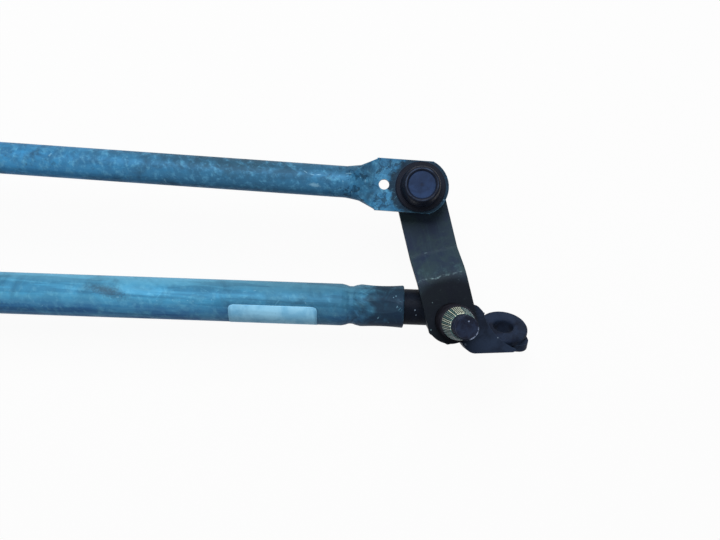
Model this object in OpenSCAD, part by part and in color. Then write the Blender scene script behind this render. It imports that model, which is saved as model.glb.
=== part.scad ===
// Windscreen wiper linkage: a tubular frame with two pivot bearings, a tandem rod that joins
// their cranks, and a drive rod with the motor's crank over a stamped motor plate.
// The origin is on the right pivot axis, where the thread of its shaft starts. +Z is outward.

/* [Layout] */
// Distance between the two pivot axes
pivot_spacing = 500; // [440:5:620]
// Direction of the cranks at rest, from the line of the pivots
crank_angle = 107.5; // [95:0.5:120]
// Slant of the main tube against the line of the pivots
tube_slant = 2; // [0:0.1:3]
// Distance of the tube axis from the right pivot axis
tube_offset = 4.8; // [2:0.2:7]
// Distance of the motor axis from the right pivot, along the tube
motor_along = 350; // [320:5:370]
// Distance of the motor axis from the tube axis
motor_reach = 45; // [44:1:52]

/* [Main tube] */
// Outside diameter of the main tube
tube_d = 20; // [18:0.5:24]
// Wall of the main tube
tube_wall = 1.5; // [1:0.1:2]
// Distance from a pivot axis to the end of the tube
tube_gap = 22; // [19:0.5:28]
// Distance from the end of the tube to its crimp groove
crimp_at = 25; // [20:1:32]
// Width of the crimp groove
crimp_w = 9; // [6:0.5:12]
// Depth of the crimp groove
crimp_deep = 1; // [0.6:0.1:1.2]
// Depth of the four shallow dents pressed into a crimped end
flat_deep = 0.5; // [0.2:0.05:0.7]
// Length of a spigot inside the tube
spigot_in = 34; // [32:1:45]

/* [Pivot shafts] */
// Diameter of the thread for the wiper arm's nut
thread_d = 10; // [8:0.5:11]
// Length of that thread
thread_len = 11; // [10:0.5:18]
// Diameter of the knurled cone at its foot
cone_d = 14.6; // [13:0.2:15.6]
// Diameter of the knurled cone at its top
cone_top_d = 11.3; // [11.2:0.1:12.8]
// Height of the knurled cone
cone_h = 17; // [10:0.5:18]
// Number of teeth round the knurled cone
cone_teeth = 54; // [36:1:60]
// Depth of those teeth
tooth_deep = 0.45; // [0.2:0.05:0.7]
// Diameter of the collar between crank and cone
collar_d = 16; // [16:0.5:18]
// Height of that collar
collar_h = 25; // [15:1:32]
// Diameter of the seat in the crank
seat_d = 14; // [13.5:0.1:15]
// Diameter of the journal in the bearing
journal_d = 13; // [11:0.5:13]

/* [Pivot housings] */
// Outside diameter of the bearing barrel
barrel_d = 23; // [22:0.5:26]
// Length of the bearing barrel
barrel_len = 36; // [36:1:44]
// Wall of the bearing bushes
bush_wall = 1.5; // [1:0.1:1.8]
// Length of each bearing bush
bush_len = 11; // [8:0.5:12]
// Distance from a pivot axis to the hole of its mounting ear
ear_reach = 27; // [26:0.1:31]
// Distance of that hole from the line of the pivots
ear_shift = 6; // [4:0.1:7]
// Depth of that hole under the tube axis
ear_deep = 6; // [5:0.25:8]
// Tilt of the mounting ears about the line of the pivots
ear_tilt = 55; // [50:1:58]
// Radius of the mounting ears
ear_r = 10.4; // [10:0.1:11.4]
// Thickness of the mounting ears
ear_t = 4; // [3:0.2:5]

/* [Grommets] */
// Outside diameter of the rubber grommet in an ear
ear_grommet_d = 23.6; // [21:0.2:24]
// Thickness of its outer flange
ear_flange = 3.2; // [2:0.1:3.6]
// Diameter of its inner flange
ear_foot_d = 18.6; // [17:0.2:20]
// Thickness of its inner flange
ear_foot = 1.2; // [1:0.1:2]
// Outside diameter of the rubber grommet in the plate
grommet_d = 20; // [18:0.2:21]
// Diameter of the hole that holds a grommet
grommet_seat_d = 14; // [12:0.2:15]
// Diameter of the hole through a grommet
grommet_bore_d = 9.4; // [8:0.1:10]
// Thickness of its flanges
grommet_flange = 2.5; // [1.5:0.1:3]

/* [Cranks] */
// Distance from a pivot axis to the ball of the tandem rod
crank_reach = 63; // [58:0.5:72]
// Distance from the left pivot axis to the ball of the drive rod
drive_reach = 42; // [36:0.5:46]
// Width of the crank strip
crank_w = 23; // [22:0.5:25]
// Thickness of the crank strip
crank_t = 5; // [4:0.25:6]
// Distance from a hub or ball axis to the end of the strip
crank_end = 10.5; // [10:0.25:13]
// Size of the chamfers on the corners of the strip
crank_chamfer = 6.7; // [4:0.1:8]
// How far the ball end is stepped down from the hub
crank_drop = 11; // [8:0.5:12]
// Distance from the hub axis to the first bend of the step
bend_at = 18; // [16:0.5:20]
// Angle of the two bends
bend_angle = 45; // [40:1:55]
// Inner radius of the two bends
bend_r = 3; // [2:0.25:4]

/* [Ball joints] */
// Diameter of the balls
ball_d = 16; // [14:0.5:16]
// Height of a ball's centre over the strip that carries it
ball_lift = 11; // [11:0.25:13]
// Running clearance between ball and socket
ball_clear = 0.2; // [0.1:0.05:0.3]
// Diameter of the neck and shank of a ball stud
stud_d = 9; // [8:0.25:9.5]
// Outside diameter of the socket where the rod holds it
socket_d = 19.4; // [19.2:0.1:20]
// Diameter of the socket's flange on the rod
socket_flange_d = 23; // [21:0.1:23.4]
// Diameter of the socket's crown
crown_d = 15.8; // [13:0.1:16.4]

/* [Rods] */
// Diameter of the tandem rod
tandem_d = 14.5; // [13:0.25:16]
// Diameter of the drive rod
drive_d = 13; // [12:0.25:14.5]
// Wall of the rods
rod_wall = 1.2; // [0.8:0.1:1.6]
// Width of a rod's flattened end
paddle_w = 24; // [23:0.25:26]
// Thickness of a rod's flattened end
paddle_t = 3; // [2.4:0.1:3.6]
// Radius of the end of a flattened end
paddle_r = 13.1; // [13:0.1:15]
// Distance from a ball to the full width of the flattened end
flat_from = 20.5; // [19.5:0.5:22]
// Distance from a ball to the round tube
round_from = 34; // [32:0.5:42]
// Distance from a ball to the gauge hole
gauge_at = 16.7; // [16.5:0.1:17]
// Diameter of the gauge hole
gauge_d = 4.8; // [3:0.1:5.5]

/* [Motor plate] */
// Thickness of the motor plate
plate_t = 2.5; // [2:0.1:3]
// Radius of the plate round the motor axis
plate_r = 42; // [40:1:48]
// Half the width of the plate under the tube
plate_half = 46; // [44:1:56]
// Diameter of the pilot hole for the motor
pilot_d = 24; // [18:0.5:28]
// Diameter of the circle of the motor's bolts
motor_pcd = 60; // [54:1:66]
// Diameter of the holes for the motor's bolts
motor_hole_d = 6.6; // [5:0.1:8]
// Diameter of the bore for the motor's shaft in its crank
motor_bore_d = 10; // [8:0.25:11]
// Distance from the tube axis to the hole of the plate's mounting tab
tab_reach = 43; // [41:0.5:48]
// Radius of that tab
tab_r = 11.5; // [11:0.1:13]
// Tilt of that tab
tab_tilt = 49; // [40:1:55]
// Width of a tube strap along the tube
strap_w = 18; // [16:0.5:22]
// Thickness of a tube strap
strap_t = 2; // [1.5:0.1:2.5]
// Distance of each strap from the motor axis, along the tube
strap_at = 30; // [26:0.5:34]
// Diameter of the strap rivets
rivet_d = 5; // [4:0.25:6]

/* [Hidden] */
$fn = 64;
run_gap = 0.1;            // axial play of a pivot
run_clear = 0.04;         // radial play of a journal in its bush
washer_t = 1;             // thickness of the thrust washers
clip_t = 1.1;             // thickness of a retaining ring
clip_depth = 0.6;         // depth of a retaining ring's groove
clip_grip = 3.2;          // radial width of a retaining ring
clip_opening = 50;        // opening of a retaining ring, in degrees
shaft_tail = 1.6;         // length of a shaft past its retaining ring

// Heights, from the foot of the thread downwards
z_cone = -cone_h;                                  // foot of the knurled cone
z_hub = z_cone - collar_h;                         // outer face of a crank's hub
z_under = z_hub - crank_t;                         // inner face of a crank's hub
z_barrel = z_under - washer_t - run_gap;           // outer face of a barrel
z_foot = z_barrel - barrel_len;                    // inner face of a barrel
z_clip = z_foot - run_gap - washer_t - clip_t;     // inner face of a retaining ring
z_rest = z_clip - shaft_tail;                      // end of a shaft, on which the linkage lies
spigot_d = tube_d - 2 * tube_wall;
z_tube = z_barrel - spigot_d / 2 - 1.4;            // axis of the main tube
z_ear = z_tube - ear_deep;                         // middle of a mounting ear
z_pad = z_hub - crank_drop;                        // outer face of a crank's ball end
z_tandem = z_pad + ball_lift;                      // axis of the tandem rod
z_drive = z_hub + ball_lift;                       // axis of the drive rod
z_plate = z_tube - tube_d / 2;                     // outer face of the motor plate

function polar(r, a) = [r * cos(a), r * sin(a)];
function on_tube(along, across) =
    [0, tube_offset] + polar(along, tube_slant) + polar(across, tube_slant + 90);

right_pivot = [0, 0];
left_pivot = [-pivot_spacing, 0];
left_along = -pivot_spacing / cos(tube_slant);
motor_axis = on_tube(-motor_along, -motor_reach);
drive_angle = crank_angle + 180;
drive_line = motor_axis - left_pivot;
drive_len = norm(drive_line);
drive_slope = atan2(drive_line.y, drive_line.x);
bush_d = journal_d + 2 * bush_wall;

// Outline of a belt round circles [x, y, r], listed anticlockwise
function belt_angle(a, b) =
    atan2(b.y - a.y, b.x - a.x) - acos((a.z - b.z) / norm([b.x - a.x, b.y - a.y]));
function belt_arc(c, from, to, steps) = [for (k = [0:steps])
    [c.x, c.y] + polar(c.z, from + ((to < from ? to + 360 : to) - from) * k / steps)];
function belt(c, steps) = [for (i = [0:len(c) - 1])
    each belt_arc(c[i], belt_angle(c[(i + len(c) - 1) % len(c)], c[i]),
                  belt_angle(c[i], c[(i + 1) % len(c)]), steps)];

// Two circles joined by their outer tangents
module tangent_link(p, rp, q, rq) {
    gap = q - p;
    lean = acos((rp - rq) / norm(gap));
    head = atan2(gap.y, gap.x);
    translate(p) circle(r = rp);
    translate(q) circle(r = rq);
    polygon([
        p + polar(rp, head + lean), q + polar(rq, head + lean),
        q + polar(rq, head - lean), p + polar(rp, head - lean)
    ]);
}

// Lies along the tube axis, with the local X pointing along it
module along_tube(along, height = z_tube) {
    spot = on_tube(along, 0);
    translate([spot.x, spot.y, height]) rotate([0, 0, tube_slant]) children();
}

// Puts children at a pivot, turned with its crank
module on_crank(pivot, height, angle = crank_angle) {
    translate([pivot.x, pivot.y, height]) rotate([0, 0, angle]) children();
}

// Puts children in a mounting ear, with the local Z along its hole
module in_ear(pivot, side) {
    translate([pivot.x + side * ear_reach, -ear_shift, z_ear]) rotate([-ear_tilt, 0, 0])
        mirror([side < 0 ? 1 : 0, 0, 0]) children();
}

// Ring about Z
module ring(d_out, d_in, h) {
    difference() {
        cylinder(d = d_out, h = h);
        translate([0, 0, -1]) cylinder(d = d_in, h = h + 2);
    }
}

// Main tube, with a crimp groove and pressed dents at both ends
lip_out = 0.12;           // flare of the tube's mouth
lip_len = 3;              // length of that flare
lip_round = 0.6;          // rounding of its edge
module tube_half(r, length) {
    // half of the tube's wall profile, from its middle to one end
    a = length - crimp_at - crimp_w / 2;
    b = length - crimp_at;
    c = length - crimp_at + crimp_w / 2;
    polygon([
        [0, 0], [r, 0], [r, a], [r - crimp_deep * 0.5, b - crimp_w / 4], [r - crimp_deep, b - crimp_w / 10],
        [r - crimp_deep, b + crimp_w / 10], [r - crimp_deep * 0.5, b + crimp_w / 4], [r, c],
        [r, length - lip_len], [r + lip_out, length - lip_round],
        [r + lip_out - lip_round * 0.3, length - lip_round * 0.3],
        [r + lip_out - lip_round, length], [0, length]
    ]);
}
module tube_bore(r, length) {
    a = length - crimp_at - crimp_w / 2;
    b = length - crimp_at;
    c = length - crimp_at + crimp_w / 2;
    polygon([
        [0, -1], [r, -1], [r, a], [r - crimp_deep * 0.5, b - crimp_w / 4], [r - crimp_deep, b - crimp_w / 10],
        [r - crimp_deep, b + crimp_w / 10], [r - crimp_deep * 0.5, b + crimp_w / 4], [r, c],
        [r, length + 1], [0, length + 1]
    ]);
}
tube_from = left_along + tube_gap;
tube_half_len = (-tube_gap - tube_from) / 2;
dent_len = crimp_at - crimp_w / 2 - 2.5;
dent_mid = tube_half_len - 1.7 - dent_len / 2;
dent_r = (dent_len * dent_len / 4 + flat_deep * flat_deep) / (2 * flat_deep);
module main_tube() {
    color("LightSteelBlue")
    along_tube((tube_from - tube_gap) / 2)
    for (end = [-1, 1]) rotate([0, 90 * end, 0]) difference() {
        rotate_extrude() difference() {
            tube_half(tube_d / 2, tube_half_len);
            tube_bore(spigot_d / 2, tube_half_len);
        }
        for (turn = [0:90:270]) rotate([0, 0, turn])
            translate([tube_d / 2 - flat_deep + dent_r, 0, dent_mid]) rotate([90, 0, 0])
                cylinder(r = dent_r, h = tube_d, center = true, $fn = 360);
    }
}

// Spigot of a housing, with the groove the tube is crimped into; the local X points into the tube
module spigot() {
    b = tube_gap + crimp_at;
    rotate([0, 90, 0]) rotate_extrude() polygon([
        [0, 0], [spigot_d / 2, 0], [spigot_d / 2, b - crimp_w / 2],
        [spigot_d / 2 - crimp_deep * 0.5, b - crimp_w / 4], [spigot_d / 2 - crimp_deep, b - crimp_w / 10],
        [spigot_d / 2 - crimp_deep, b + crimp_w / 10], [spigot_d / 2 - crimp_deep * 0.5, b + crimp_w / 4],
        [spigot_d / 2, b + crimp_w / 2], [spigot_d / 2, tube_gap + spigot_in - 1],
        [spigot_d / 2 - 1, tube_gap + spigot_in], [0, tube_gap + spigot_in]
    ]);
}

// Cast housing of one pivot: barrel, spigot, mounting ear, gusset and ribs
rib_t = 4;                // thickness of the casting's ribs
barrel_draft = 1.4;       // how much smaller a barrel's radius is at its foot
ear_root = 10;            // length of an ear's straight part, towards the barrel
gusset_low = 0.9;         // depth of the gusset under the barrel's outer face
module pivot_housing(pivot, along, side) {
    inward = side > 0 ? 180 : 0;
    color("DimGray") difference() {
        union() {
            translate([pivot.x, pivot.y, z_foot])
                cylinder(r1 = barrel_d / 2 - barrel_draft, r2 = barrel_d / 2, h = barrel_len);
            along_tube(along) rotate([0, 0, inward]) spigot();
            // web to the left spigot, which passes further from its pivot
            if (side < 0) translate([0, 0, z_tube - spigot_d / 2 + 1]) linear_extrude(spigot_d - 2)
                tangent_link(pivot, barrel_d / 2 - 1,
                             on_tube(along - side * tube_gap * 0.55, 0), spigot_d * 0.32);
            // rib under the spigot
            along_tube(along) rotate([0, 0, inward]) rotate([90, 0, 0]) linear_extrude(rib_t, center = true)
                polygon([[0, 0], [tube_gap - 1, 0], [tube_gap - 1, -spigot_d / 2 + 1],
                         [tube_gap * 0.5, z_foot - z_tube + 6],
                         [0, z_foot - z_tube + 6]]);
            in_ear(pivot, side) ear();
            gusset(pivot, side);
        }
        translate([pivot.x, pivot.y, z_foot - 1]) cylinder(d = bush_d, h = barrel_len + 2);
        translate([pivot.x, pivot.y, z_barrel]) cylinder(d = barrel_d * 3, h = barrel_d);
        in_ear(pivot, side) {
            cylinder(d = grommet_seat_d, h = ear_r * 4, center = true);
            translate([0, 0, ear_t / 2])
                cylinder(d = ear_grommet_d + 2 * flange_room, h = ear_flange + flange_room);
            translate([0, 0, -ear_t / 2 - grommet_flange - flange_room])
                cylinder(d = ear_grommet_d, h = grommet_flange + flange_room);
        }
    }
}
// Tilted plate of a mounting ear, with a thick root; its local X points away from the barrel
ear_corner_r = 4.6;       // radius of the ear's low corners
ear_wide = 1.4;           // how far a low corner stands out past the round end
flange_room = 0.6;        // room round a grommet's flange
root_r = 3.9;             // radius of the corners of an ear's root
root_len = 6;             // length of that root between its corners
corner_steps = 10;
module ear() {
    low = ear_r - ear_corner_r;
    translate([0, 0, -ear_t / 2]) linear_extrude(ear_t) polygon(belt([
        [ear_r + ear_wide - ear_corner_r, -low, ear_corner_r], [0, 0, ear_r],
        [-ear_root, 0, ear_r], [-ear_root - ear_wide, -low, ear_corner_r]
    ], corner_steps));
    translate([-ear_root, 0, -ear_t / 4]) linear_extrude(ear_t * 0.75 + ear_flange - 0.2) polygon(belt([
        [0, -low, root_r], [0, low, root_r], [-root_len, low, root_r], [-root_len, -low, root_r]
    ], corner_steps));
}
// Web between the barrel and the ear, rounded at its low corner and hollowed towards the grommet
web_low = 15.2;           // distance of the web's low corner from the line of the pivots
web_r = 5.4;              // radius of that corner
web_tip = 1.5;            // radius of the web's tip under the ear
web_boss = 4.7;           // radius of the web where it leaves the barrel
web_hollow = 26;          // radius of the hollow
module gusset(pivot, side) {
    translate([pivot.x, pivot.y, z_ear - 2]) mirror([side < 0 ? 1 : 0, 0, 0])
    linear_extrude(z_barrel - gusset_low - z_ear + 2) difference() {
        polygon(belt([
            [barrel_d / 2 + 0.9, web_r - web_low, web_r], [ear_reach + 3, 2.2 * web_tip - web_low, web_tip],
            [barrel_d / 2 - 1.5, 3, web_boss], [0, 0, barrel_d / 8]
        ], corner_steps));
        translate([ear_reach + 0.485 * web_hollow, web_hollow / 2]) circle(r = web_hollow);
    }
}
module right_pivot_housing() { pivot_housing(right_pivot, 0, 1); }
module left_pivot_housing() { pivot_housing(left_pivot, left_along, -1); }

// Bearing bushes and seals in a barrel
seal_room = 2.2;          // depth of the barrel above the outer bush, for the seal
seal_r = 0.7;             // radius of the seal's section
module bush_at(pivot, height) {
    color("Peru") translate([pivot.x, pivot.y, height]) ring(bush_d, journal_d + 2 * run_clear, bush_len);
}
module seal_at(pivot) {
    color("Black") translate([pivot.x, pivot.y, z_barrel - seal_room / 2])
        rotate_extrude() translate([(journal_d + bush_d) / 4, 0]) circle(r = seal_r, $fn = 24);
}
module right_outer_bush() { bush_at(right_pivot, z_barrel - seal_room - bush_len); }
module right_inner_bush() { bush_at(right_pivot, z_foot + 0.4); }
module left_outer_bush() { bush_at(left_pivot, z_barrel - seal_room - bush_len); }
module left_inner_bush() { bush_at(left_pivot, z_foot + 0.4); }
module right_shaft_seal() { seal_at(right_pivot); }
module left_shaft_seal() { seal_at(left_pivot); }

// Rubber grommet about Z, with its groove round the edge of a sheet t thick and rounded flanges
lip_steps = 4;
function lip(r, from, to) = [for (i = [0:lip_steps]) polar(r, from + (to - from) * i / lip_steps)];
module grommet(t, d, top, foot_d, foot) {
    half = t / 2;
    bore = grommet_bore_d / 2;
    edge = top * 0.42;
    soft = foot * 0.3;
    function at(p, arc) = [for (q = arc) p + q];
    color("Black") rotate_extrude() polygon(concat(
        [[bore, -half - foot]],
        at([foot_d / 2 - soft, -half - foot + soft], lip(soft, -90, 0)),
        [[foot_d / 2, -half], [grommet_seat_d / 2, -half], [grommet_seat_d / 2, half], [d / 2, half]],
        at([d / 2 - edge, half + top - edge], lip(edge, 0, 90)),
        at([bore + edge, half + top - edge], lip(edge, 90, 180))
    ));
}
module ear_grommet() { grommet(ear_t, ear_grommet_d, ear_flange, ear_foot_d, ear_foot); }
module right_ear_grommet() { in_ear(right_pivot, 1) ear_grommet(); }
module left_ear_grommet() { in_ear(left_pivot, -1) ear_grommet(); }
module plate_grommet() {
    in_tab() grommet(plate_t, grommet_d, grommet_flange, grommet_d - 1.2, grommet_flange);
}

// Pivot shaft: journal, crank seat, collar, knurled cone and threaded end
collar_break = (collar_d - cone_d) / 4;   // broken edge of the collar
cone_sunk = 0.4;                          // depth of the knurled cone inside the collar
tip_break = 0.6;                          // chamfer of the threaded end
module shaft(pivot) {
    color("Silver") translate([pivot.x, pivot.y, 0]) {
        rotate_extrude() polygon([
            [0, z_rest], [journal_d / 2 - 0.8, z_rest], [journal_d / 2, z_rest + 0.8],
            [journal_d / 2, z_clip], [journal_d / 2 - clip_depth, z_clip],
            [journal_d / 2 - clip_depth, z_clip + clip_t], [journal_d / 2, z_clip + clip_t],
            [journal_d / 2, z_under], [seat_d / 2, z_under], [seat_d / 2, z_hub],
            [collar_d / 2, z_hub], [collar_d / 2, z_cone - collar_break],
            [collar_d / 2 - collar_break, z_cone], [thread_d / 2, z_cone],
            [thread_d / 2, thread_len - tip_break], [thread_d / 2 - tip_break, thread_len], [0, thread_len]
        ]);
        knurled_cone();
    }
}
// Teeth that hold the wiper arm
module knurled_cone() {
    pitch = 360 / cone_teeth;
    outer = cone_d / 2;
    root = outer - tooth_deep;
    translate([0, 0, z_cone - cone_sunk]) linear_extrude(cone_h + cone_sunk, scale = cone_top_d / cone_d)
        polygon([for (i = [0:cone_teeth - 1], tip = [0, 1])
            polar(tip == 1 ? outer : root, (i + tip / 2) * pitch)]);
}
module right_shaft() { shaft(right_pivot); }
module left_shaft() { shaft(left_pivot); }

// Washers and retaining rings
module washer_at(pivot, height) {
    color("Gainsboro") translate([pivot.x, pivot.y, height])
        ring(barrel_d - 2 * barrel_draft - 1, journal_d + 0.6, washer_t);
}
module retaining_ring(pivot) {
    color("Gray") translate([pivot.x, pivot.y, z_clip])
        rotate([0, 0, clip_opening / 2]) rotate_extrude(angle = 360 - clip_opening)
            translate([journal_d / 2 - clip_depth, 0]) square([clip_grip, clip_t]);
}
module right_thrust_washer() { washer_at(right_pivot, z_under - washer_t); }
module right_inner_washer() { washer_at(right_pivot, z_clip + clip_t); }
module right_retaining_ring() { retaining_ring(right_pivot); }
module left_thrust_washer() { washer_at(left_pivot, z_under - washer_t); }
module left_inner_washer() { washer_at(left_pivot, z_clip + clip_t); }
module left_retaining_ring() { retaining_ring(left_pivot); }

// Side profile of a crank strip with its step, from -tail to the ball end
slope_len = (crank_drop - (2 * bend_r + crank_t) * (1 - cos(bend_angle))) / sin(bend_angle);
bend_c = [bend_at, -bend_r - crank_t];
bend_d = bend_c + (2 * bend_r + crank_t) * [sin(bend_angle), cos(bend_angle)]
    + slope_len * [cos(bend_angle), -sin(bend_angle)];
bend_steps = 6;
function bend_point(c, r, i) = c + r * [sin(i * bend_angle / bend_steps), cos(i * bend_angle / bend_steps)];
module step_profile(tail, reach) {
    polygon(concat(
        [[-tail, 0]],
        [for (i = [0:bend_steps]) bend_point(bend_c, bend_r + crank_t, i)],
        [for (i = [bend_steps:-1:0]) bend_point(bend_d, -bend_r, i)],
        [[reach, -crank_drop], [reach, -crank_drop - crank_t]],
        [for (i = [0:bend_steps]) bend_point(bend_d, -bend_r - crank_t, i)],
        [for (i = [bend_steps:-1:0]) bend_point(bend_c, bend_r, i)],
        [[-tail, -crank_t]]
    ));
}
// Plan of a strip with chamfered corners
module strip_plan(tail, reach) {
    c = crank_chamfer;
    w = crank_w / 2;
    polygon([
        [-tail, -w + c], [-tail + c, -w], [reach - c, -w], [reach, -w + c],
        [reach, w - c], [reach - c, w], [-tail + c, w], [-tail, w - c]
    ]);
}
module stepped_crank(tail) {
    reach = crank_reach + crank_end;
    difference() {
        intersection() {
            rotate([90, 0, 0]) linear_extrude(crank_w + 2, center = true) step_profile(tail, reach);
            translate([0, 0, -crank_drop * 3]) linear_extrude(crank_drop * 4) strip_plan(tail, reach);
        }
        translate([0, 0, -crank_t - 1]) cylinder(d = seat_d, h = crank_t + 2);
        translate([crank_reach, 0, -crank_drop - crank_t - 1]) cylinder(d = stud_d, h = crank_t + 2);
        if (tail > crank_end)
            translate([-drive_reach, 0, -crank_t - 1]) cylinder(d = stud_d, h = crank_t + 2);
    }
}
module right_crank() { color("DarkSlateGray") on_crank(right_pivot, z_hub) stepped_crank(crank_end); }
module left_crank() {
    color("DarkSlateGray") on_crank(left_pivot, z_hub) stepped_crank(drive_reach + crank_end);
}

// Ball stud riveted through a strip, with its origin on the strip's outer face
stud_foot = 14;           // diameter of the stud's foot on the strip
stud_foot_h = 1.4;        // height of that foot
rivet_head = 13;          // diameter of the riveted head
rivet_head_h = 2.2;       // height of that head
module ball_stud() {
    color("Silver") {
        rotate_extrude() polygon([
            [0, -crank_t - rivet_head_h], [rivet_head / 2 - 2, -crank_t - rivet_head_h],
            [rivet_head / 2, -crank_t - 0.8], [rivet_head / 2, -crank_t],
            [stud_d / 2, -crank_t], [stud_d / 2, 0],
            [stud_foot / 2, 0], [stud_foot / 2, stud_foot_h - 0.4], [stud_foot / 2 - 0.4, stud_foot_h],
            [stud_d / 2, stud_foot_h], [stud_d / 2, ball_lift], [0, ball_lift]
        ]);
        translate([0, 0, ball_lift]) sphere(d = ball_d);
    }
}
module right_ball_stud() { on_crank(right_pivot, z_pad) translate([crank_reach, 0, 0]) ball_stud(); }
module left_ball_stud() { on_crank(left_pivot, z_pad) translate([crank_reach, 0, 0]) ball_stud(); }
module left_drive_stud() {
    on_crank(left_pivot, z_hub, drive_angle) translate([drive_reach, 0, 0]) ball_stud();
}

// Moulded ball socket, with its origin at the ball's centre
crown_h = ball_d / 2 + 5;     // height of the crown over the ball's centre
dish_deep = 0.9;              // depth of the dish in the crown
skirt_h = 6;                  // depth of the socket under the ball's centre
module ball_socket() {
    half = paddle_t / 2;
    color("DarkSlateGray") difference() {
        rotate_extrude() polygon([
            [0, -skirt_h], [socket_d / 2 - 1, -skirt_h], [socket_d / 2 + 0.5, -half - 1.6],
            [socket_d / 2 + 0.5, -half], [socket_d / 2, -half], [socket_d / 2, half],
            [socket_flange_d / 2, half],
            [socket_flange_d / 2, half + 1.2], [socket_flange_d / 2 - 0.5, half + 1.6],
            [socket_d / 2 - 0.3, half + 1.6], [crown_d / 2 + 0.4, crown_h - 1.2],
            [crown_d / 2, crown_h - 0.4], [crown_d / 2 - 0.6, crown_h],
            [crown_d / 2 - 1, crown_h], [crown_d / 2 - 1.5, crown_h - 0.3],
            [crown_d / 2 - 1.9, crown_h - dish_deep], [0, crown_h - dish_deep]
        ]);
        sphere(r = ball_d / 2 + ball_clear);
    }
}

// Rod made of tube with flattened ends, from a ball at the origin along X
press_mark = 0.15;        // step that the press leaves on the flat end
press_ear = 0.12;         // the same at its edges
press_steps = 8;
flare_share = 0.54;       // where the flare bends, from the flat end (0) to the round tube (1)
flare_waist = 0.95;       // how much wider than the tube it is there
seam = 7;                 // keeps the seams of the round surfaces apart
drain_d = 3;              // diameter of the drain holes
drain_in = 6;             // distance of a drain hole from the end of the hollow
function ease(s) = s * s * (3 - 2 * s);
function blend(a, b, s) = a + (b - a) * s;
// Half the thickness of the tube where it is pressed flat, s from round (0) to flat (1)
function press_half(d, s) = blend(d / 2 + 0.1, paddle_t / 2 + press_mark, ease(s));
function press_x(s) = blend(round_from, flat_from - 1, s);
module flattening(d) {
    wide = paddle_w / 2 + press_ear;
    waist = [d / 2 + flare_waist, blend(flat_from, round_from, flare_share)];
    easy = flare_waist / (round_from - waist.y);
    edge = concat([[round_from + 1, press_half(d, 0)]],
        [for (i = [0:press_steps]) [press_x(i / press_steps), press_half(d, i / press_steps)]]);
    intersection() {
        rotate([seam, 0, 0]) rotate([0, 90, 0]) rotate_extrude() polygon([
            [0, flat_from - 1], [wide, flat_from - 1], waist,
            [d / 2 - easy / 2, round_from + 0.5], [0, round_from + 0.5]
        ]);
        rotate([90, 0, 0]) linear_extrude(paddle_w * 2, center = true)
            polygon(concat(edge, [for (i = [press_steps + 1:-1:0]) [edge[i].x, -edge[i].y]]));
    }
}
module rod_end(d) {
    difference() {
        union() {
            flattening(d);
            translate([0, 0, -paddle_t / 2]) linear_extrude(paddle_t) intersection() {
                union() {
                    circle(r = paddle_r);
                    translate([0, -paddle_w / 2]) square([flat_from, paddle_w]);
                }
                translate([-paddle_r, -paddle_w / 2]) square([paddle_r + flat_from, paddle_w]);
            }
        }
        translate([0, 0, -paddle_t]) cylinder(d = socket_d, h = paddle_t * 2);
        translate([gauge_at, 0, -paddle_t]) cylinder(d = gauge_d, h = paddle_t * 2);
    }
}
module rod(length, d) {
    core = round_from + 4;
    color("LightSteelBlue") difference() {
        union() {
            rod_end(d);
            translate([length, 0, 0]) rotate([0, 0, 180]) rod_end(d);
            translate([round_from - 0.5, 0, 0]) rotate([2 * seam, 0, 0]) rotate([0, 90, 0])
                cylinder(d = d, h = length - 2 * round_from + 1);
        }
        translate([core, 0, 0]) rotate([0, 90, 0]) cylinder(d = d - 2 * rod_wall, h = length - 2 * core);
        // drain holes of the zinc bath, on the hidden side
        for (at = [core + drain_in, length - core - drain_in]) translate([at, 0, -d])
            cylinder(d = drain_d, h = d);
    }
}
module at_tandem() {
    spot = left_pivot + polar(crank_reach, crank_angle);
    translate([spot.x, spot.y, z_tandem]) children();
}
module at_drive() {
    spot = left_pivot + polar(drive_reach, drive_angle);
    translate([spot.x, spot.y, z_drive]) rotate([0, 0, drive_slope]) children();
}
module tandem_rod() { at_tandem() rod(pivot_spacing, tandem_d); }
module tandem_left_socket() { at_tandem() ball_socket(); }
module tandem_right_socket() { at_tandem() translate([pivot_spacing, 0, 0]) ball_socket(); }
module drive_rod() { at_drive() rod(drive_len, drive_d); }
module drive_left_socket() { at_drive() ball_socket(); }
module drive_motor_socket() { at_drive() translate([drive_len, 0, 0]) ball_socket(); }

// Motor crank, held on the motor's shaft by its hub
motor_hub_d = 20;         // diameter of the motor crank's hub
motor_hub_h = 12;         // length of the hub under the strip
module motor_crank() {
    color("DarkSlateGray") on_crank(motor_axis, z_hub, drive_angle) difference() {
        union() {
            translate([0, 0, -crank_t]) linear_extrude(crank_t)
                strip_plan(crank_end + 2, drive_reach + crank_end);
            translate([0, 0, -crank_t - motor_hub_h]) cylinder(d = motor_hub_d, h = motor_hub_h + 1);
        }
        translate([0, 0, -crank_t - motor_hub_h - 1])
            cylinder(d = motor_bore_d, h = motor_hub_h + crank_t + 2);
        translate([drive_reach, 0, -crank_t - 1]) cylinder(d = stud_d, h = crank_t + 2);
    }
}
module motor_ball_stud() {
    on_crank(motor_axis, z_hub, drive_angle) translate([drive_reach, 0, 0]) ball_stud();
}

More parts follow.
